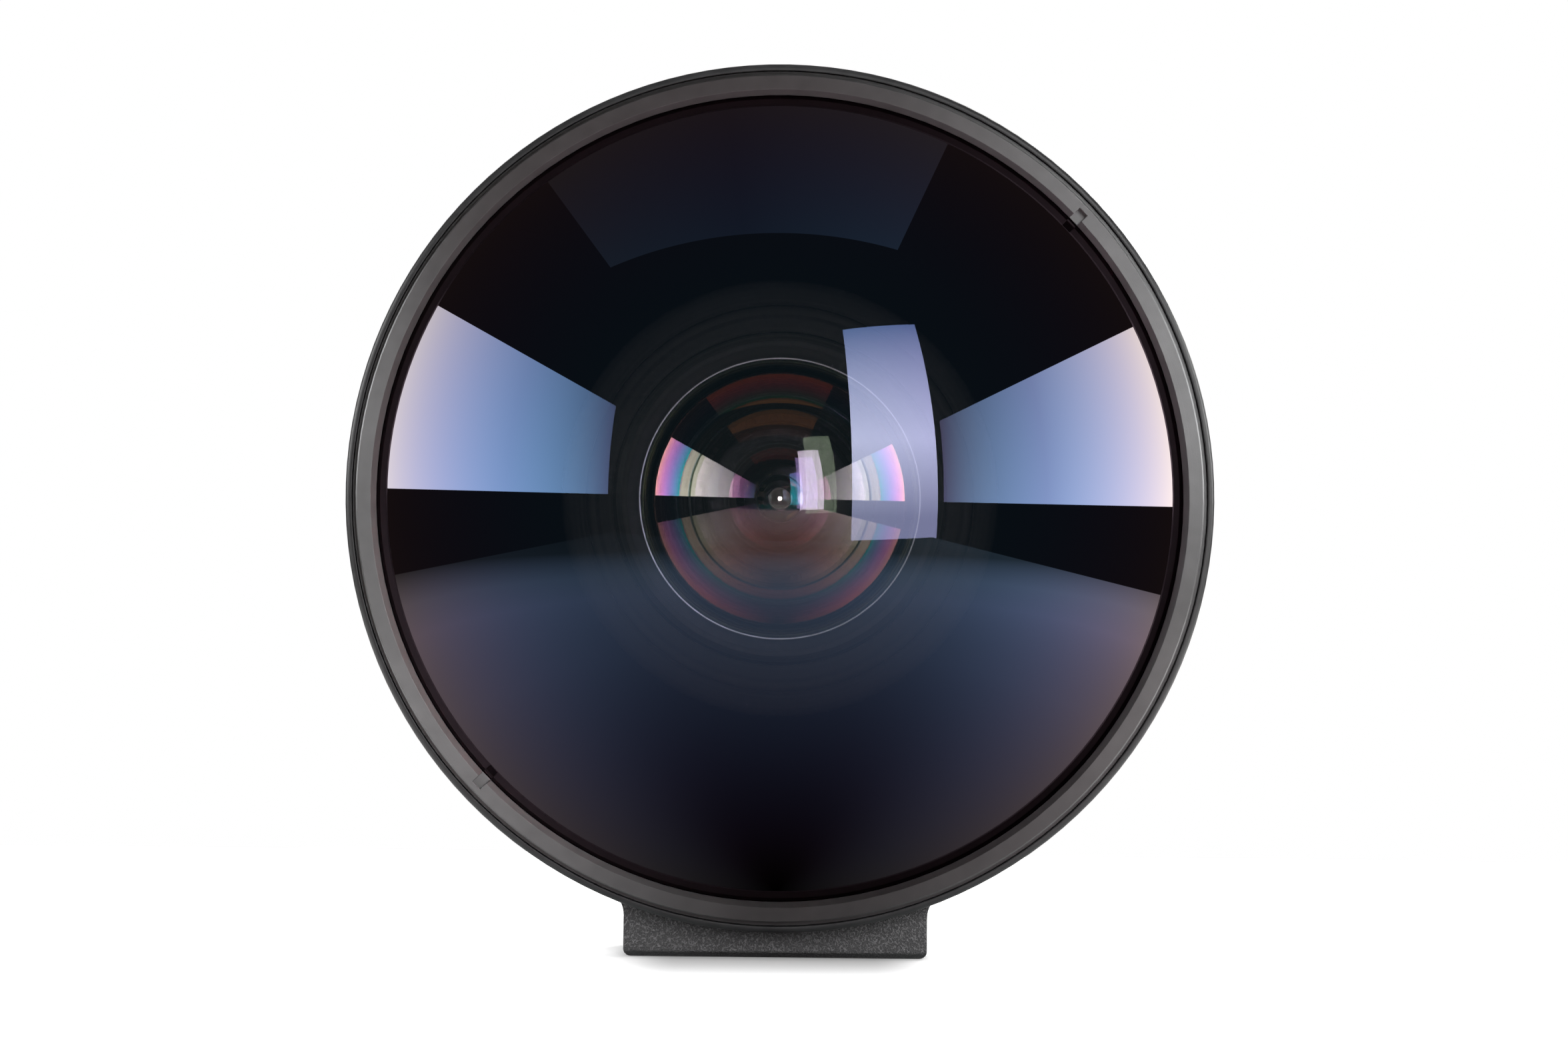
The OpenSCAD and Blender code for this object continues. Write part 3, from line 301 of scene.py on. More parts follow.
def bump(tree, shader, height, distance, edge=0.0):
    """Raises the surface by a height map, over edges rounded to a small radius."""
    node = add(tree, "Bump", {"Height": height, "Distance": distance, "Strength": 1.0})
    if edge:
        put(tree, node.inputs["Normal"], bevel(tree, edge))
    put(tree, shader.inputs["Normal"], node.outputs[0])


def edge_wear(tree, radius, patch):
    """From 0 on flat ground to 1 on an outer edge, broken up by patches."""
    flat = add(tree, "NewGeometry").outputs["Normal"]
    same = vector_node(tree, "DOT_PRODUCT", bevel(tree, radius), flat, "Value")
    worn = ramp(tree, same, 0.0, 1.0, *WORN_SPAN)
    broken = ramp(tree, noise(tree, patch), 0.0, 1.0, *BROKEN_SPAN)
    return math_node(tree, "MULTIPLY", worn, broken)


def blend_colours(tree, factor, first, second):
    node = add(tree, "Mix", data_type="RGBA")
    put(tree, node.inputs["Factor"], factor)
    for key, colour in (("A", first), ("B", second)):
        put(tree, node.inputs[key], colour if isinstance(colour, bpy.types.NodeSocket) else (*colour, 1.0))
    return node.outputs["Result"]


def finish(tree, shader, colour, patch, low, high):
    """Gives a shader its colour, and a roughness that wanders between two levels in patches."""
    put(tree, shader.inputs["Base Color"], colour)
    put(tree, shader.inputs["Roughness"], ramp(tree, noise(tree, patch), low, high, *SPREAD))


# Materials

def ball_centre(name, side):
    """Where on the axis a glass's surface has its centre: side -1 for the front surface, 1 for the back."""
    mesh = nodes[name].data
    radii = [math.hypot(v.co.x, v.co.z - AXIS_H) for v in mesh.vertices]
    inner = CURVE_SHARE * max(radii)
    faces = [face for face in mesh.polygons if face.normal.y * side > CURVE_SLOPE]
    spots = {i for face in faces for i in face.vertices if radii[i] < inner}
    depths = [mesh.vertices[i].co.y for i in spots] or [0.0]
    squares = [radii[i] ** 2 + mesh.vertices[i].co.y ** 2 for i in spots] or [0.0]
    middle, level = sum(depths) / len(depths), sum(squares) / len(squares)
    spread = sum((d - middle) ** 2 for d in depths)
    if spread < FLAT_SPREAD:
        return -side * FAR_AWAY
    return sum((d - middle) * (q - level) for d, q in zip(depths, squares)) / spread / 2


def true_normals(tree, shader, name, front):
    """Normals straight from the centres of the two ground surfaces, so that the facets never show."""
    centres = ramp(tree, front, ball_centre(name, 1), ball_centre(name, -1), 0.0, 1.0)
    centre = add(tree, "CombineXYZ", {"Y": centres, "Z": AXIS_H}).outputs[0]
    reach = vector_node(tree, "SUBTRACT", places(tree), centre)
    straight = add(tree, "VectorMath", {0: reach}, operation="NORMALIZE").outputs[0]
    rough = add(tree, "NewGeometry").outputs["Normal"]
    way = math_node(tree, "SIGN", vector_node(tree, "DOT_PRODUCT", straight, rough, "Value"))
    turned = add(tree, "VectorMath", {0: straight, "Scale": way}, operation="SCALE")
    put(tree, shader.inputs["Normal"], turned.outputs[0])


def glass_sides(tree):
    """Masks for a glass: its front surface, all but a look at that from outside, and the slope's cosine."""
    geometry = add(tree, "NewGeometry")
    facing = add(tree, "SeparateXYZ", {0: geometry.outputs["Normal"]}).outputs["Y"]
    rearward = math_node(tree, "GREATER_THAN", facing, 0.0)
    front = math_node(tree, "COMPARE", rearward, geometry.outputs["Backfacing"])
    front.node.inputs[2].default_value = 0.5
    passing = math_node(tree, "MAXIMUM", rearward, geometry.outputs["Backfacing"])
    return front, passing, math_node(tree, "ABSOLUTE", facing)


def coating(tree, shader, name, film, inner, back):
    """A film on the front surface, as thick as the slope there has it, and shares that the rest reflects."""
    front, passing, level = glass_sides(tree)
    true_normals(tree, shader, name, front)
    most = max(depth for _, depth in film)
    share = tint(tree, level, *((place, depth / most) for place, depth in film))
    depth = math_node(tree, "MULTIPLY", share, most)
    put(tree, shader.inputs["Thin Film Thickness"], math_node(tree, "MULTIPLY", depth, front))
    ahead = tint(tree, level, (FILM_END, grey(1.0)), (FILM_END + FILM_JUMP, inner))
    put(tree, shader.inputs["Specular Tint"], blend_colours(tree, front, back, ahead))
    return passing


def dome_glass():
    """Coated front glass, tinted black where the black cell is behind it: painted shade in place of the dark
    cell seen through the glass.
    """
    mat, tree, shader = new_material("dome_glass", roughness=0.0, ior=DOME_INDEX, transmission_weight=1.0,
                                     thin_film_ior=DOME_FILM_INDEX)
    passing = coating(tree, shader, "front_element", DOME_FILM, grey(1.0), grey(0.0))
    clear = math_node(tree, "MAXIMUM", ramp(tree, from_axis(tree), 1.0, 0.0, *DOME_CLEAR), passing)
    # Painted shade: seen from outside, beyond the clear zone the glass lets nothing through and shows black
    put(tree, shader.inputs["Base Color"], tint(tree, clear, (0.0, 0.0), (1.0, 1.0)))
    return mat


def coated_glass(name, index, film_index, film, inner, back):
    """Clear glass with a coating on its front surface. The back's share may change with the radius."""
    mat, tree, shader = new_material(name, roughness=0.0, ior=index, thin_film_ior=film_index,
                                     transmission_weight=1.0, base_color=grey(1.0))
    if isinstance(back[0], tuple):
        reach = back[-1][0]
        stops = [(radius / reach, colour) for radius, colour in back]
        back = tint(tree, ramp(tree, from_axis(tree), 0.0, 1.0, 0.0, reach), *stops)
    coating(tree, shader, name, film, inner, back)
    return mat


def filter_glass(name, colour):
    """Dyed glass, a little denser in places."""
    mat, tree, shader = new_material(name, roughness=0.02, ior=1.52, transmission_weight=1.0)
    deep = tuple(c * 0.9 for c in colour)
    put(tree, shader.inputs["Base Color"], tint(tree, noise(tree, 8 * MM), (0.35, colour), (0.65, deep)))
    return mat


def crinkle_paint():
    """Black paint dried into meandering wrinkles, with painted highlights on their crests and painted shade
    between them, rubbed paler on edges and with a painted shade along the foot's base.
    """
    mat, tree, shader = new_material("crinkle_black", ior=1.5)
    painted_pit_shade, painted_crest_light = (0.021, 0.0205, 0.0215), (0.082, 0.08, 0.0825)
    base, rubbed = (0.012, 0.012, 0.0125), (0.085, 0.083, 0.081)
    level = math_node(tree, "ABSOLUTE", math_node(tree, "SUBTRACT", noise(tree, 0.85 * MM, 1.5), 0.5))
    ridge = ramp(tree, level, 1.0, 0.0, 0.0, 0.09)
    # Painted shade: the paint is darkened up to 2 mm above the floor, along the foot's base
    low = ramp(tree, place_on(tree, "Z"), 1.0, 0.0, 1.3 * MM, 2.0 * MM)
    # Painted light: the raised wrinkle lines are coloured lighter and the ground between them darker
    tone = blend_colours(tree, low, tint(tree, ridge, (0.1, painted_pit_shade), (0.9, painted_crest_light)), base)
    tone = blend_colours(tree, edge_wear(tree, 0.8 * MM, 1.5 * MM), tone, rubbed)
    finish(tree, shader, tone, 1.6 * MM, 0.38, 0.56)
    bump(tree, shader, math_node(tree, "ADD", ridge, noise(tree, 0.4 * MM)), 0.22 * MM, 0.5 * MM)
    return mat


def turned_metal(name, dark, light, rough, grain=0.2 * MM, marks=0.2 * MM, metallic=1.0, brushed=0.0):
    """Turned and blasted metal: even grain, faint rings, paler edges, and a gleam drawn across the rings."""
    mat, tree, shader = new_material(name, metallic=metallic, ior=1.5, anisotropic=brushed,
                                     anisotropic_rotation=0.25)
    if brushed:
        around = add(tree, "Tangent", direction_type="RADIAL", axis="Y")
        put(tree, shader.inputs["Tangent"], around.outputs[0])
    pale = tuple(min(1.0, c * METAL_WEAR) for c in light)
    wear = edge_wear(tree, METAL_EDGE, 2 * MM)
    tone = blend_colours(tree, wear, mottled(tree, 6 * MM, dark, light), pale)
    finish(tree, shader, tone, 1.5 * MM, rough - 0.04, rough + 0.05)
    height = math_node(tree, "ADD", noise(tree, grain, 2.0), tool_marks(tree, marks))
    bump(tree, shader, height, METAL_BUMP, METAL_EDGE)
    return mat


def trap_black(tree):
    """The tone of light-trap paint, with faint turning rings."""
    return tint(tree, tool_marks(tree, 1.2 * MM), *zip(SPREAD, (0.002, 0.005)))


def flat_black():
    """Light-trap black: dead matt paint."""
    mat, tree, shader = new_material("flat_black", specular_ior_level=0.1)
    finish(tree, shader, trap_black(tree), 2 * MM, 0.55, 0.75)
    bump(tree, shader, noise(tree, 0.25 * MM, 2.0), 0.02 * MM)
    return mat


def bare_edge_ring(name, low, high):
    """Light-trap black ring, with a thin line of bare metal between two radii."""
    mat, tree, shader = new_material(name, specular_ior_level=0.1)
    radius = from_axis(tree)
    rise = ramp(tree, radius, 0.0, 1.0, low - LINE_SOFT, low + LINE_SOFT)
    fall = ramp(tree, radius, 1.0, 0.0, high - LINE_SOFT, high + LINE_SOFT)
    line = math_node(tree, "MULTIPLY", rise, fall)
    put(tree, shader.inputs["Metallic"], line)
    finish(tree, shader, blend_colours(tree, line, trap_black(tree), (0.26, 0.29, 0.32)), 2 * MM, 0.45, 0.6)
    bump(tree, shader, noise(tree, 0.25 * MM, 2.0), 0.02 * MM)
    return mat


def rubber():
    """Moulded rubber with a fine pitted skin and a little dust."""
    mat, tree, shader = new_material("rubber", ior=1.5)
    tone = tint(tree, noise(tree, 3 * MM, 5.0), (0.35, 0.010), (0.75, 0.024))
    tone = blend_colours(tree, edge_wear(tree, 0.5 * MM, 2 * MM), tone, (0.045, 0.044, 0.043))
    finish(tree, shader, tone, 1.2 * MM, 0.55, 0.78)
    pits = add(tree, "TexVoronoi", {"Vector": places(tree), "Scale": 1 / (0.5 * MM)}, feature="SMOOTH_F1")
    bump(tree, shader, pits.outputs["Distance"], 0.05 * MM, 0.25 * MM)
    return mat


def threaded_steel(name, pitch):
    """Steel bush with a thread cut along its upright bore."""
    mat, tree, shader = new_material(name, metallic=1.0)
    tone = mottled(tree, 2 * MM, (0.36, 0.35, 0.34), (0.5, 0.49, 0.47))
    finish(tree, shader, tone, 1 * MM, 0.24, 0.4)
    turns = math_node(tree, "PINGPONG", math_node(tree, "DIVIDE", place_on(tree, "Z"), pitch), 0.5)
    bump(tree, shader, turns, 0.5 * pitch)
    return mat


def mark_paint(name, colour):
    """Paint filled into engraved marks, slightly uneven."""
    mat, tree, shader = new_material(name, roughness=0.5)
    faded = tuple(c * 0.75 for c in colour)
    put(tree, shader.inputs["Base Color"], mottled(tree, 0.6 * MM, faded, colour))
    return mat


def dress_nodes():
    """Gives every node of the frame its material, by its slot in the record."""
    looks = {name: turned_metal(name, **values) for name, values in METALS.items()}
    looks.update({"filter_" + name: filter_glass("filter_" + name, dye) for name, dye in FILTER_DYES.items()})
    looks.update(dome_glass=dome_glass(), crinkle_black=crinkle_paint())
    looks.update(flat_black=flat_black(), rubber=rubber())
    films = {
        "second_glass": (SECOND_INDEX, SECOND_FILM_INDEX, SECOND_FILM, SECOND_INNER, SECOND_BACK),
        "third_glass": (INNER_INDEX, INNER_FILM_INDEX, THIRD_FILM, grey(1.0), THIRD_BACK),
        "inner_glass": (INNER_INDEX, INNER_FILM_INDEX, INNER_FILM, INNER_FRONT, INNER_BACK),
    }
    for subpart in frame["record"]["subparts"]:
        name, kind = subpart["node"], subpart["material_slot"]
        nodes[name].data.materials.clear()
        nodes[name].data.materials.append(coated_glass(name, *films[kind]) if kind in films else looks[kind])
    nodes["turret_disc"].data.materials[0] = looks["flat_black"]
    nodes["second_retainer"].data.materials[0] = bare_edge_ring("second_ring", *SECOND_LINE)
    for name, pitch in THREAD_PITCHES.items():
        nodes[name].data.materials[0] = threaded_steel(name + "_thread", pitch)
    for name in ("front_element", "second_element", "third_element"):
        nodes[name].visible_shadow = False


# Marks of the rings

def outline_mark(spots):
    """A flat plate of paint with the given outline: its points across, up and out, and its faces."""
    count = len(spots)
    points = [(x, y, -MARK_SINK) for x, y in spots] + [(x, y, MARK_RISE) for x, y in spots]
    walls = [(i, (i + 1) % count, count + (i + 1) % count, count + i) for i in range(count)]
    return points, walls + [tuple(range(count, 2 * count)), tuple(reversed(range(count)))]


def line_mark(width, length):
    x, y = width / 2, length / 2
    return outline_mark([(-x, -y), (x, -y), (x, y), (-x, y)])


def dot_mark(radius):
    turns = [math.tau * k / DOT_SIDES for k in range(DOT_SIDES)]
    return outline_mark([(radius * math.cos(a), radius * math.sin(a)) for a in turns])


def number_mark(word, height, lying=False):
    """A plain number of a height, about its own middle. An 8 that lies on its side stands for endless."""
    curve = bpy.data.curves.new(word, "FONT")
    curve.body = word
    curve.resolution_u = 4
    curve.extrude = 0.5
    writing = bpy.data.objects.new(word, curve)
    bpy.context.scene.collection.objects.link(writing)
    shaped = writing.evaluated_get(bpy.context.evaluated_depsgraph_get())
    mesh = bpy.data.meshes.new_from_object(shaped)
    spots = [v.co.copy() for v in mesh.vertices]
    loops = [tuple(face.vertices) for face in mesh.polygons]
    bpy.data.objects.remove(writing)
    bpy.data.curves.remove(curve)
    bpy.data.meshes.remove(mesh)
    left, right = min(p.x for p in spots), max(p.x for p in spots)
    foot, head = min(p.y for p in spots), max(p.y for p in spots)
    scale = height / (head - foot)
    points = []
    for spot in spots:
        across, up = (spot.x - (right + left) / 2) * scale, (spot.y - (head + foot) / 2) * scale
        out = MARK_RISE if spot.z > 0 else -MARK_SINK
        points.append((-up, across, out) if lying else (across, up, out))
    return points, loops


def ring_marks(name, body, radius, drawn, paints):
    """Marks wrapped round a ring. Each has its angle from the top, its place along the axis and its paint."""
    form = bmesh.new()
    for (points, loops), turn, place, paint in drawn:
        spots = []
        for across, up, out in points:
            angle = math.pi / 2 - turn + across / radius
            x, z = (radius + out) * math.cos(angle), AXIS_H + (radius + out) * math.sin(angle)
            spots.append(form.verts.new((x, place - up, z)))
        for loop in loops:
            form.faces.new([spots[i] for i in loop]).material_index = paint
    bmesh.ops.remove_doubles(form, verts=form.verts, dist=MARK_WELD)
    bmesh.ops.recalc_face_normals(form, faces=form.faces)
    mesh = bpy.data.meshes.new(name)
    form.to_mesh(mesh)
    form.free()
    for paint in paints:
        mesh.materials.append(paint)
    piece = bpy.data.objects.new(name, mesh)
    bpy.context.scene.collection.objects.link(piece)
    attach(piece, body)


def filter_turn(name, ratio):
    """How far the ring turns to bring a filter from its place in the turret to the optical axis."""
    low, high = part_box("filter_" + name)
    axle_low, axle_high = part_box("turret_axle")
    middle = (low + high) / 2 - (axle_low + axle_high) / 2
    swing = math.pi - math.atan2(middle.z, middle.x)
    return ((swing + TURN_SLACK) % math.tau - TURN_SLACK) / ratio


def all_marks():
    """Distances, lines of the fixed scale, a dot in the colour of each filter, and stops of the iris."""
    white = [mark_paint("white_paint", WHITE_PAINT)]
    front, back = FOCUS_BAND
    rows = [(str(d), FOCUS_TURN * NEAREST / d) for d in DISTANCES]
    drawn = [(number_mark(word, DISTANCE_H), turn, front + DISTANCE_IN, 0) for word, turn in rows]
    drawn.append((number_mark("8", ENDLESS_H, True), 0.0, front + DISTANCE_IN, 0))
    for turn in [0.0] + [turn for _, turn in rows]:
        drawn.append((line_mark(*DISTANCE_LINE), turn, back - DISTANCE_LINE_IN, 0))
    ring_marks("focus_marks", "focus_control", FOCUS_R, drawn, white)

    front, back = SCALE_BAND
    drawn = [(line_mark(INDEX_W, back - front - INDEX_SHORT), 0.0, (front + back) / 2, 0)]
    for turn in DEPTH_TURNS:
        for side in (-1, 1):
            drawn.append((line_mark(*DEPTH_LINE), math.radians(side * turn), front + DEPTH_IN, 0))
    ring_marks("scale_marks", "barrel", FOCUS_R, drawn, white)

    couplings = frame["record"]["behaviour"]["couplings"]
    ratio = next(c["ratio"] for c in couplings if c["joint"] == "turret_turn")
    paints = [mark_paint(name + "_dot", colour) for name, colour in FILTER_PAINTS.items()]
    middle = sum(FILTER_BAND) / 2
    drawn = []
    for k, name in enumerate(FILTER_PAINTS):
        drawn.append((dot_mark(FILTER_DOT), filter_turn(name, ratio), middle, k))
    ring_marks("filter_marks", "filter_control", FILTER_R, drawn, paints)

    middle = sum(APERTURE_BAND) / 2
    drawn = []
    for k, word in enumerate(STOPS):
        drawn.append((number_mark(word, STOP_H), STOP_INDEX + k * STOP_STEP, middle, 0))
    ring_marks("aperture_marks", "aperture_control", APERTURE_R, drawn, white)
    drawn = [(line_mark(*STOP_LINE), STOP_INDEX, SKIRT_BAND[0] + STOP_IN, 0)]
    ring_marks("stop_index", "barrel", SKIRT_R, drawn, white)
    drawn = [(dot_mark(MOUNT_DOT), 0.0, sum(INDEX_BAND) / 2, 0)]
    ring_marks("mount_index", "barrel", INDEX_R, drawn, white)


# Studio

def stage_plane(name, corners, material):
    mesh = bpy.data.meshes.new(name)
    mesh.from_pydata([tuple(c) for c in corners], [], [tuple(range(len(corners)))])
    mesh.materials.append(material)
    plane = bpy.data.objects.new(name, mesh)
    bpy.context.scene.collection.objects.link(plane)
    return plane


def rectangle(left, right, front, back, height):
    return [(left, front, height), (right, front, height), (right, back, height), (left, back, height)]


def hide(planes, *rays):
    """Keeps planes out of the sight of some kinds of rays."""
    for plane in planes:
        for kind in rays:
            setattr(plane, "visible_" + kind, False)


def light_for(dome, planes):
    """Keeps some planes' light for the dome alone, or for everything but the dome."""
    group = bpy.data.collections.new("dome_alone" if dome else "all_but_dome")
    group.objects.link(nodes["front_element"])
    if not dome:
        group.collection_objects[0].light_linking.link_state = "EXCLUDE"
    for plane in planes:
        plane.light_linking.receiver_collection = group


def neutral(colour):
    red, green, blue = colour
    return grey(0.3 * red + 0.59 * green + 0.11 * blue)


def lit_surface(tree, colour, strength, clear):
    """Gives a material's surface its light. A clear one lets rays pass on to what is behind."""
    light = add(tree, "Emission", {"Color": colour, "Strength": strength}).outputs[0]
    if clear:
        through = add(tree, "BsdfTransparent").outputs[0]
        light = add(tree, "AddShader", {0: light, 1: through}).outputs[0]
    put(tree, add(tree, "OutputMaterial").inputs["Surface"], light)


def glow(name, axis, stops, colours, fade_axis="Z", fade=1.0, clear=False):
    """A lit surface whose radiance runs through colours along one axis of its box and fades along one."""
    mat, tree = bare_material(name)
    parts = add(tree, "SeparateXYZ", {0: add(tree, "TexCoord").outputs["Generated"]}).outputs
    top = max(max(colour) for colour in colours)
    scaled = [tuple(c / top for c in colour) for colour in colours]
    strength = ramp(tree, parts[fade_axis], top, top * fade, 0.0, 1.0)
    lit_surface(tree, tint(tree, parts[axis], *zip(stops, scaled)), strength, clear)
    return mat


def panels(prefix, sides, strip, ceiling, reach=1.0, clear=False):
    """The studio's panels, never in view themselves. A reach under 1 brings them nearer."""
    made = []
    for side, name in ((-1, "left"), (1, "right")):
        x, front = side * reach * SIDE_X, SIDE_FRONT[side]
        low, high = AXIS_H + SIDE_LOW[side], AXIS_H + SIDE_HIGH[side]
        corners = [(x, front, low), (x, SIDE_BACK, low), (x, SIDE_BACK, high), (x, front, high)]
        light = glow(prefix + name, "Y", SIDE_STOPS, sides[side], "Z", SIDE_FADE, clear)
        made.append(stage_plane(prefix + name, corners, light))
    away = reach * STRIP_DISTANCE
    top = AXIS_H + STRIP_DISTANCE * math.tan(STRIP_RISE)
    near, far = [(away * math.sin(a), DOME_FRONT - away * math.cos(a)) for a in STRIP_ANGLES]
    corners = [(*near, STRIP_FOOT), (*far, STRIP_FOOT), (*far, top), (*near, top)]
    light = glow(prefix + "strip", "Z", STRIP_STOPS, strip, clear=clear)
    made.append(stage_plane(prefix + "strip", corners, light))
    corners = rectangle(*CEILING_EDGES, AXIS_H + reach * CEILING_H)
    light = glow(prefix + "ceiling", "X", CEILING_STOPS, ceiling, "Y", CEILING_FADE, clear)
    made.append(stage_plane(prefix + "ceiling", corners, light))
    hide(made, "camera")
    return made


def all_panels():
    """A set for the dome, one without tints for all other outsides, and one for the glass behind the dome."""
    outer = panels("panel_", SIDE_GLOW, STRIP_GLOW, CEILING_GLOW)
    light_for(True, outer)
    plain_sides = {side: [neutral(c) for c in colours] for side, colours in SIDE_GLOW.items()}
    plain_strip, plain_ceiling = ([neutral(c) for c in colours] for colours in (STRIP_GLOW, CEILING_GLOW))
    plain = panels("plain_", plain_sides, plain_strip, plain_ceiling, PLAIN_REACH, True)
    light_for(False, plain)
    hide(outer + plain, "transmission", "diffuse")
    inner = panels("inner_", INNER_SIDE_GLOW, INNER_STRIP_GLOW, INNER_CEILING_GLOW)
    turns = [math.tau * k / BACK_SIDES for k in range(BACK_SIDES)]
    corners = [(BACK_R * math.cos(a), BACK_Y, AXIS_H + BACK_R * math.sin(a)) for a in turns]
    light = glow("inner_back", "X", (0.0, 1.0), (grey(BACK_GLOW), grey(BACK_GLOW)))
    back = stage_plane("inner_back", corners, light)
    hide([back], "camera")
    hide(inner + [back], "glossy", "diffuse", "shadow")


def table_light(name, stops, clear=False):
    """Light that the table sends up, by the distance from the rim, dark at the rim as a painted shadow of the
    lens: stronger beside the lens and rightward.
    """
    mat, tree = bare_material(name)
    across = place_on(tree, "X")
    away = vector_node(tree, "DISTANCE", places(tree), (0, RIM_FRONT, 0), "Value")
    reach, top = stops[-1][0], max(max(colour) for _, colour in stops)
    scaled = [(distance / reach, tuple(c / top for c in colour)) for distance, colour in stops]
    # Painted shadow of the lens: the stops start black at the rim
    colour = tint(tree, ramp(tree, away, 0.0, 1.0, 0.0, reach), *scaled)
    sideways = math_node(tree, "ABSOLUTE", math_node(tree, "DIVIDE", across, away))
    aside = math_node(tree, "POWER", sideways, ASIDE_POWER)
    tilted = ramp(tree, across, top * (1 - TABLE_TILT), top * (1 + TABLE_TILT), -1.0, 1.0)
    strength = math_node(tree, "MULTIPLY", math_node(tree, "ADD", aside, 1.0), tilted)
    if not clear:
        turned = blend_colours(tree, aside, TABLE_AHEAD, TABLE_ASIDE)
        colour = vector_node(tree, "MULTIPLY", colour, turned)
    lit_surface(tree, colour, strength, clear)
    return mat


def foot_shade(tree):
    """A painted shadow on the floor: from 0 in the open to 1 at the foot's front and back edges, where the
    dark foot shades the floor.
    """
    low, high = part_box("tripod_foot")
    along, beside = place_on(tree, "Y"), math_node(tree, "ABSOLUTE", place_on(tree, "X"))
    ahead = ramp(tree, along, 0.0, 1.0, low.y - SHADE_REACH, low.y, "SMOOTHSTEP")
    behind = ramp(tree, along, 1.0, 0.0, high.y, high.y + SHADE_REACH, "SMOOTHSTEP")
    aside = ramp(tree, beside, 1.0, 0.0, high.x - SHADE_IN, high.x + SHADE_OUT, "SMOOTHSTEP")
    return math_node(tree, "MULTIPLY", math_node(tree, "MULTIPLY", ahead, behind), aside)


def floor_paint():
    """White floor with a painted shadow round the foot, clear from below so that the foot can be looked at.
    """
    mat, tree, shader = new_material("floor_paint", roughness=0.7, emission_color=grey(1.0))
    # Painted shadow of the foot: it darkens both the floor's colour and its glow
    shade = foot_shade(tree)
    tone = tint(tree, shade, (0.0, FLOOR_TONE), (1.0, FLOOR_TONE * SHADE_LEFT))
    put(tree, shader.inputs["Base Color"], tone)
    # Painted contact shade: the floor's glow dims next to whatever stands on it
    nearby = add(tree, "AmbientOcclusion", {"Distance": CONTACT_REACH}, samples=8).outputs["AO"]
    lit = ramp(tree, nearby, CONTACT_GLOW, FLOOR_GLOW, 0.5, 1.0)
    left = ramp(tree, shade, 1.0, SHADE_LEFT, 0.0, 1.0)
    put(tree, shader.inputs["Emission Strength"], math_node(tree, "MULTIPLY", lit, left))
    through = add(tree, "BsdfTransparent").outputs[0]
    below = add(tree, "NewGeometry").outputs["Backfacing"]
    mixed = add(tree, "MixShader", {0: below, 1: shader.outputs[0], 2: through})
    put(tree, tree.nodes["Material Output"].inputs["Surface"], mixed.outputs[0])
    return mat


def floors():
    """The floor, which mirrors don't see, and just under it three tables of light for them."""
    floor = stage_plane("floor", rectangle(*FLOOR_EDGES, FLOOR_H), floor_paint())
    hide([floor], "glossy", "transmission")
    plain_stops = [(distance, neutral(colour)) for distance, colour in TABLE_STOPS]
    tinted_light = table_light("table_light", TABLE_STOPS)
    plain_light = table_light("plain_light", plain_stops, True)
    inner_light = table_light("inner_table_light", INNER_TABLE_STOPS)
    table = stage_plane("table", rectangle(*TABLE_EDGES, TABLE_H), tinted_light)
    plain = stage_plane("plain_table", rectangle(*TABLE_EDGES, PLAIN_TABLE_H), plain_light)
    inner_corners = rectangle(*TABLE_EDGES[:3], INNER_TABLE_BACK, INNER_TABLE_H)
    inner = stage_plane("inner_table", inner_corners, inner_light)
    light_for(False, [plain])
    hide([table, plain], "transmission")
    hide([inner], "glossy")
    hide([table, plain, inner], "camera", "diffuse", "shadow")


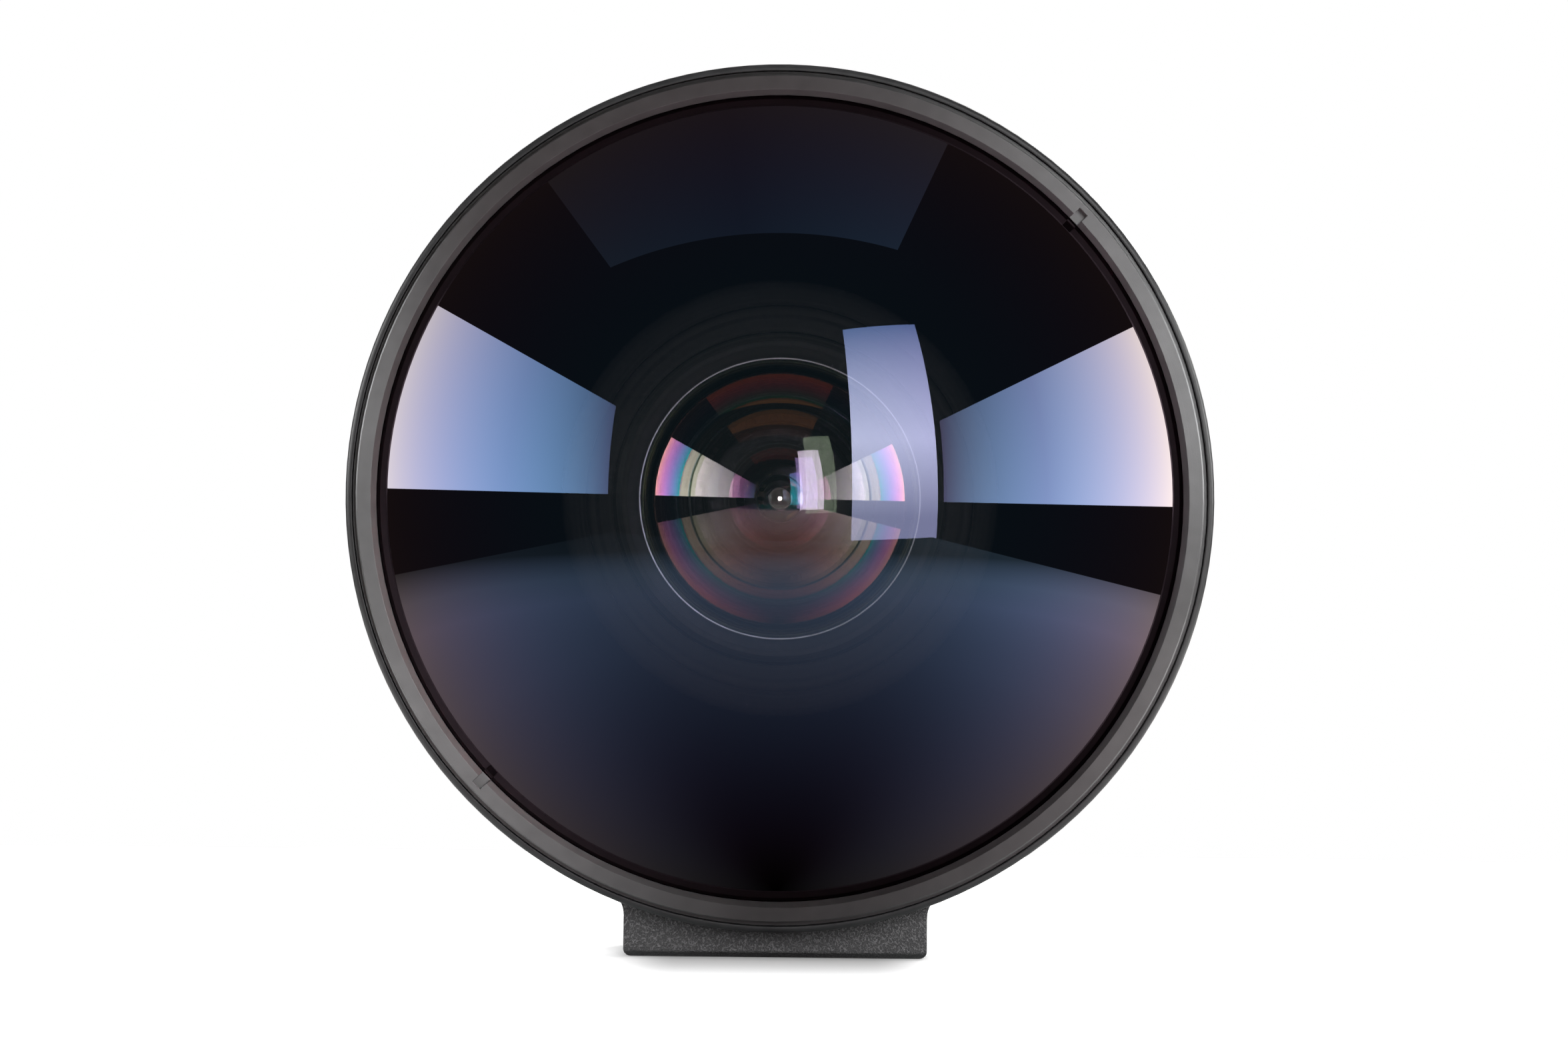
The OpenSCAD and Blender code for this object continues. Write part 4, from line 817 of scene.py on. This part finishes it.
def room():
    """White for the camera, even light for paint, and for mirrors a dark room with a pale far end."""
    world = bpy.data.worlds.new("room")
    bpy.context.scene.world = world
    world.use_nodes = True
    world.cycles.sampling_method = "NONE"
    tree = world.node_tree
    tree.nodes.clear()
    path = add(tree, "LightPath").outputs
    way = add(tree, "SeparateXYZ", {0: add(tree, "TexCoord").outputs["Generated"]}).outputs
    rearward = ramp(tree, way["Y"], 0.0, 1.0, *REAR_SPAN)
    behind = math_node(tree, "MULTIPLY", rearward, ramp(tree, way["Z"], REAR_LEAST, 1.0, *REAR_RISE))
    outside = math_node(tree, "SUBTRACT", 1.0, path["Is Transmission Ray"])
    colour = blend_colours(tree, math_node(tree, "MULTIPLY", behind, outside), ROOM_GLOW, grey(REAR_GLOW))
    strength = ramp(tree, outside, INNER_ROOM, 1.0, 0.0, 1.0)
    dark = add(tree, "Background", {"Color": colour, "Strength": strength}).outputs[0]
    fill = add(tree, "Background", {"Color": (*grey(1.0), 1.0), "Strength": FILL_GLOW}).outputs[0]
    white = add(tree, "Background", {"Color": (*grey(1.0), 1.0), "Strength": 1.0}).outputs[0]
    lit = add(tree, "MixShader", {0: path["Is Diffuse Ray"], 1: dark, 2: fill}).outputs[0]
    mixed = add(tree, "MixShader", {0: path["Is Camera Ray"], 1: lit, 2: white}).outputs[0]
    put(tree, add(tree, "OutputWorld").inputs["Surface"], mixed)


def make_camera():
    """The photograph's viewpoint: on the optical axis, with the lens a little high in the frame."""
    data = bpy.data.cameras.new("camera")
    data.sensor_width = SENSOR_W
    data.lens = SENSOR_W * RIM_PX_R * CAMERA_DISTANCE / RIM_R / IMAGE_W
    data.shift_x = (IMAGE_W / 2 - RIM_PX_X) / IMAGE_W
    data.shift_y = (RIM_PX_Y - IMAGE_H / 2) / IMAGE_W
    data.clip_start, data.clip_end = CLIP_NEAR, CLIP_FAR
    camera = bpy.data.objects.new("camera", data)
    bpy.context.scene.collection.objects.link(camera)
    camera.location = (0, RIM_FRONT - CAMERA_DISTANCE, AXIS_H)
    turn = Matrix.Rotation(math.pi / 2, 3, "X") @ Matrix.Rotation(LENS_ROLL, 3, "Z")
    camera.rotation_euler = turn.to_euler()
    bpy.context.scene.camera = camera


def soft_light(name, place, size, radiance, mirrored=False):
    """A square lamp for paint and floor, never in view itself."""
    data = bpy.data.lights.new(name, "AREA")
    data.shape = "SQUARE"
    data.size = size
    data.energy = radiance * math.pi * size * size
    lamp = bpy.data.objects.new(name, data)
    bpy.context.scene.collection.objects.link(lamp)
    lamp.location = place
    lamp.rotation_euler = (Vector((0, 0, AXIS_H)) - Vector(place)).to_track_quat("-Z", "Y").to_euler()
    hide([lamp], "camera", "transmission")
    lamp.visible_glossy = mirrored


dress_nodes()
all_marks()
all_panels()
floors()
soft_light("top_light", *TOP_LIGHT)
soft_light("front_light", *FRONT_LIGHT)
soft_light("rear_light", *REAR_LIGHT, mirrored=True)
room()
make_camera()

scene = bpy.context.scene
scene.view_settings.view_transform = "Standard"
scene.cycles.max_bounces = MOST_BOUNCES
scene.cycles.transmission_bounces = MOST_BOUNCES
scene.cycles.glossy_bounces = GLOSSY_BOUNCES
scene.cycles.caustics_refractive = False
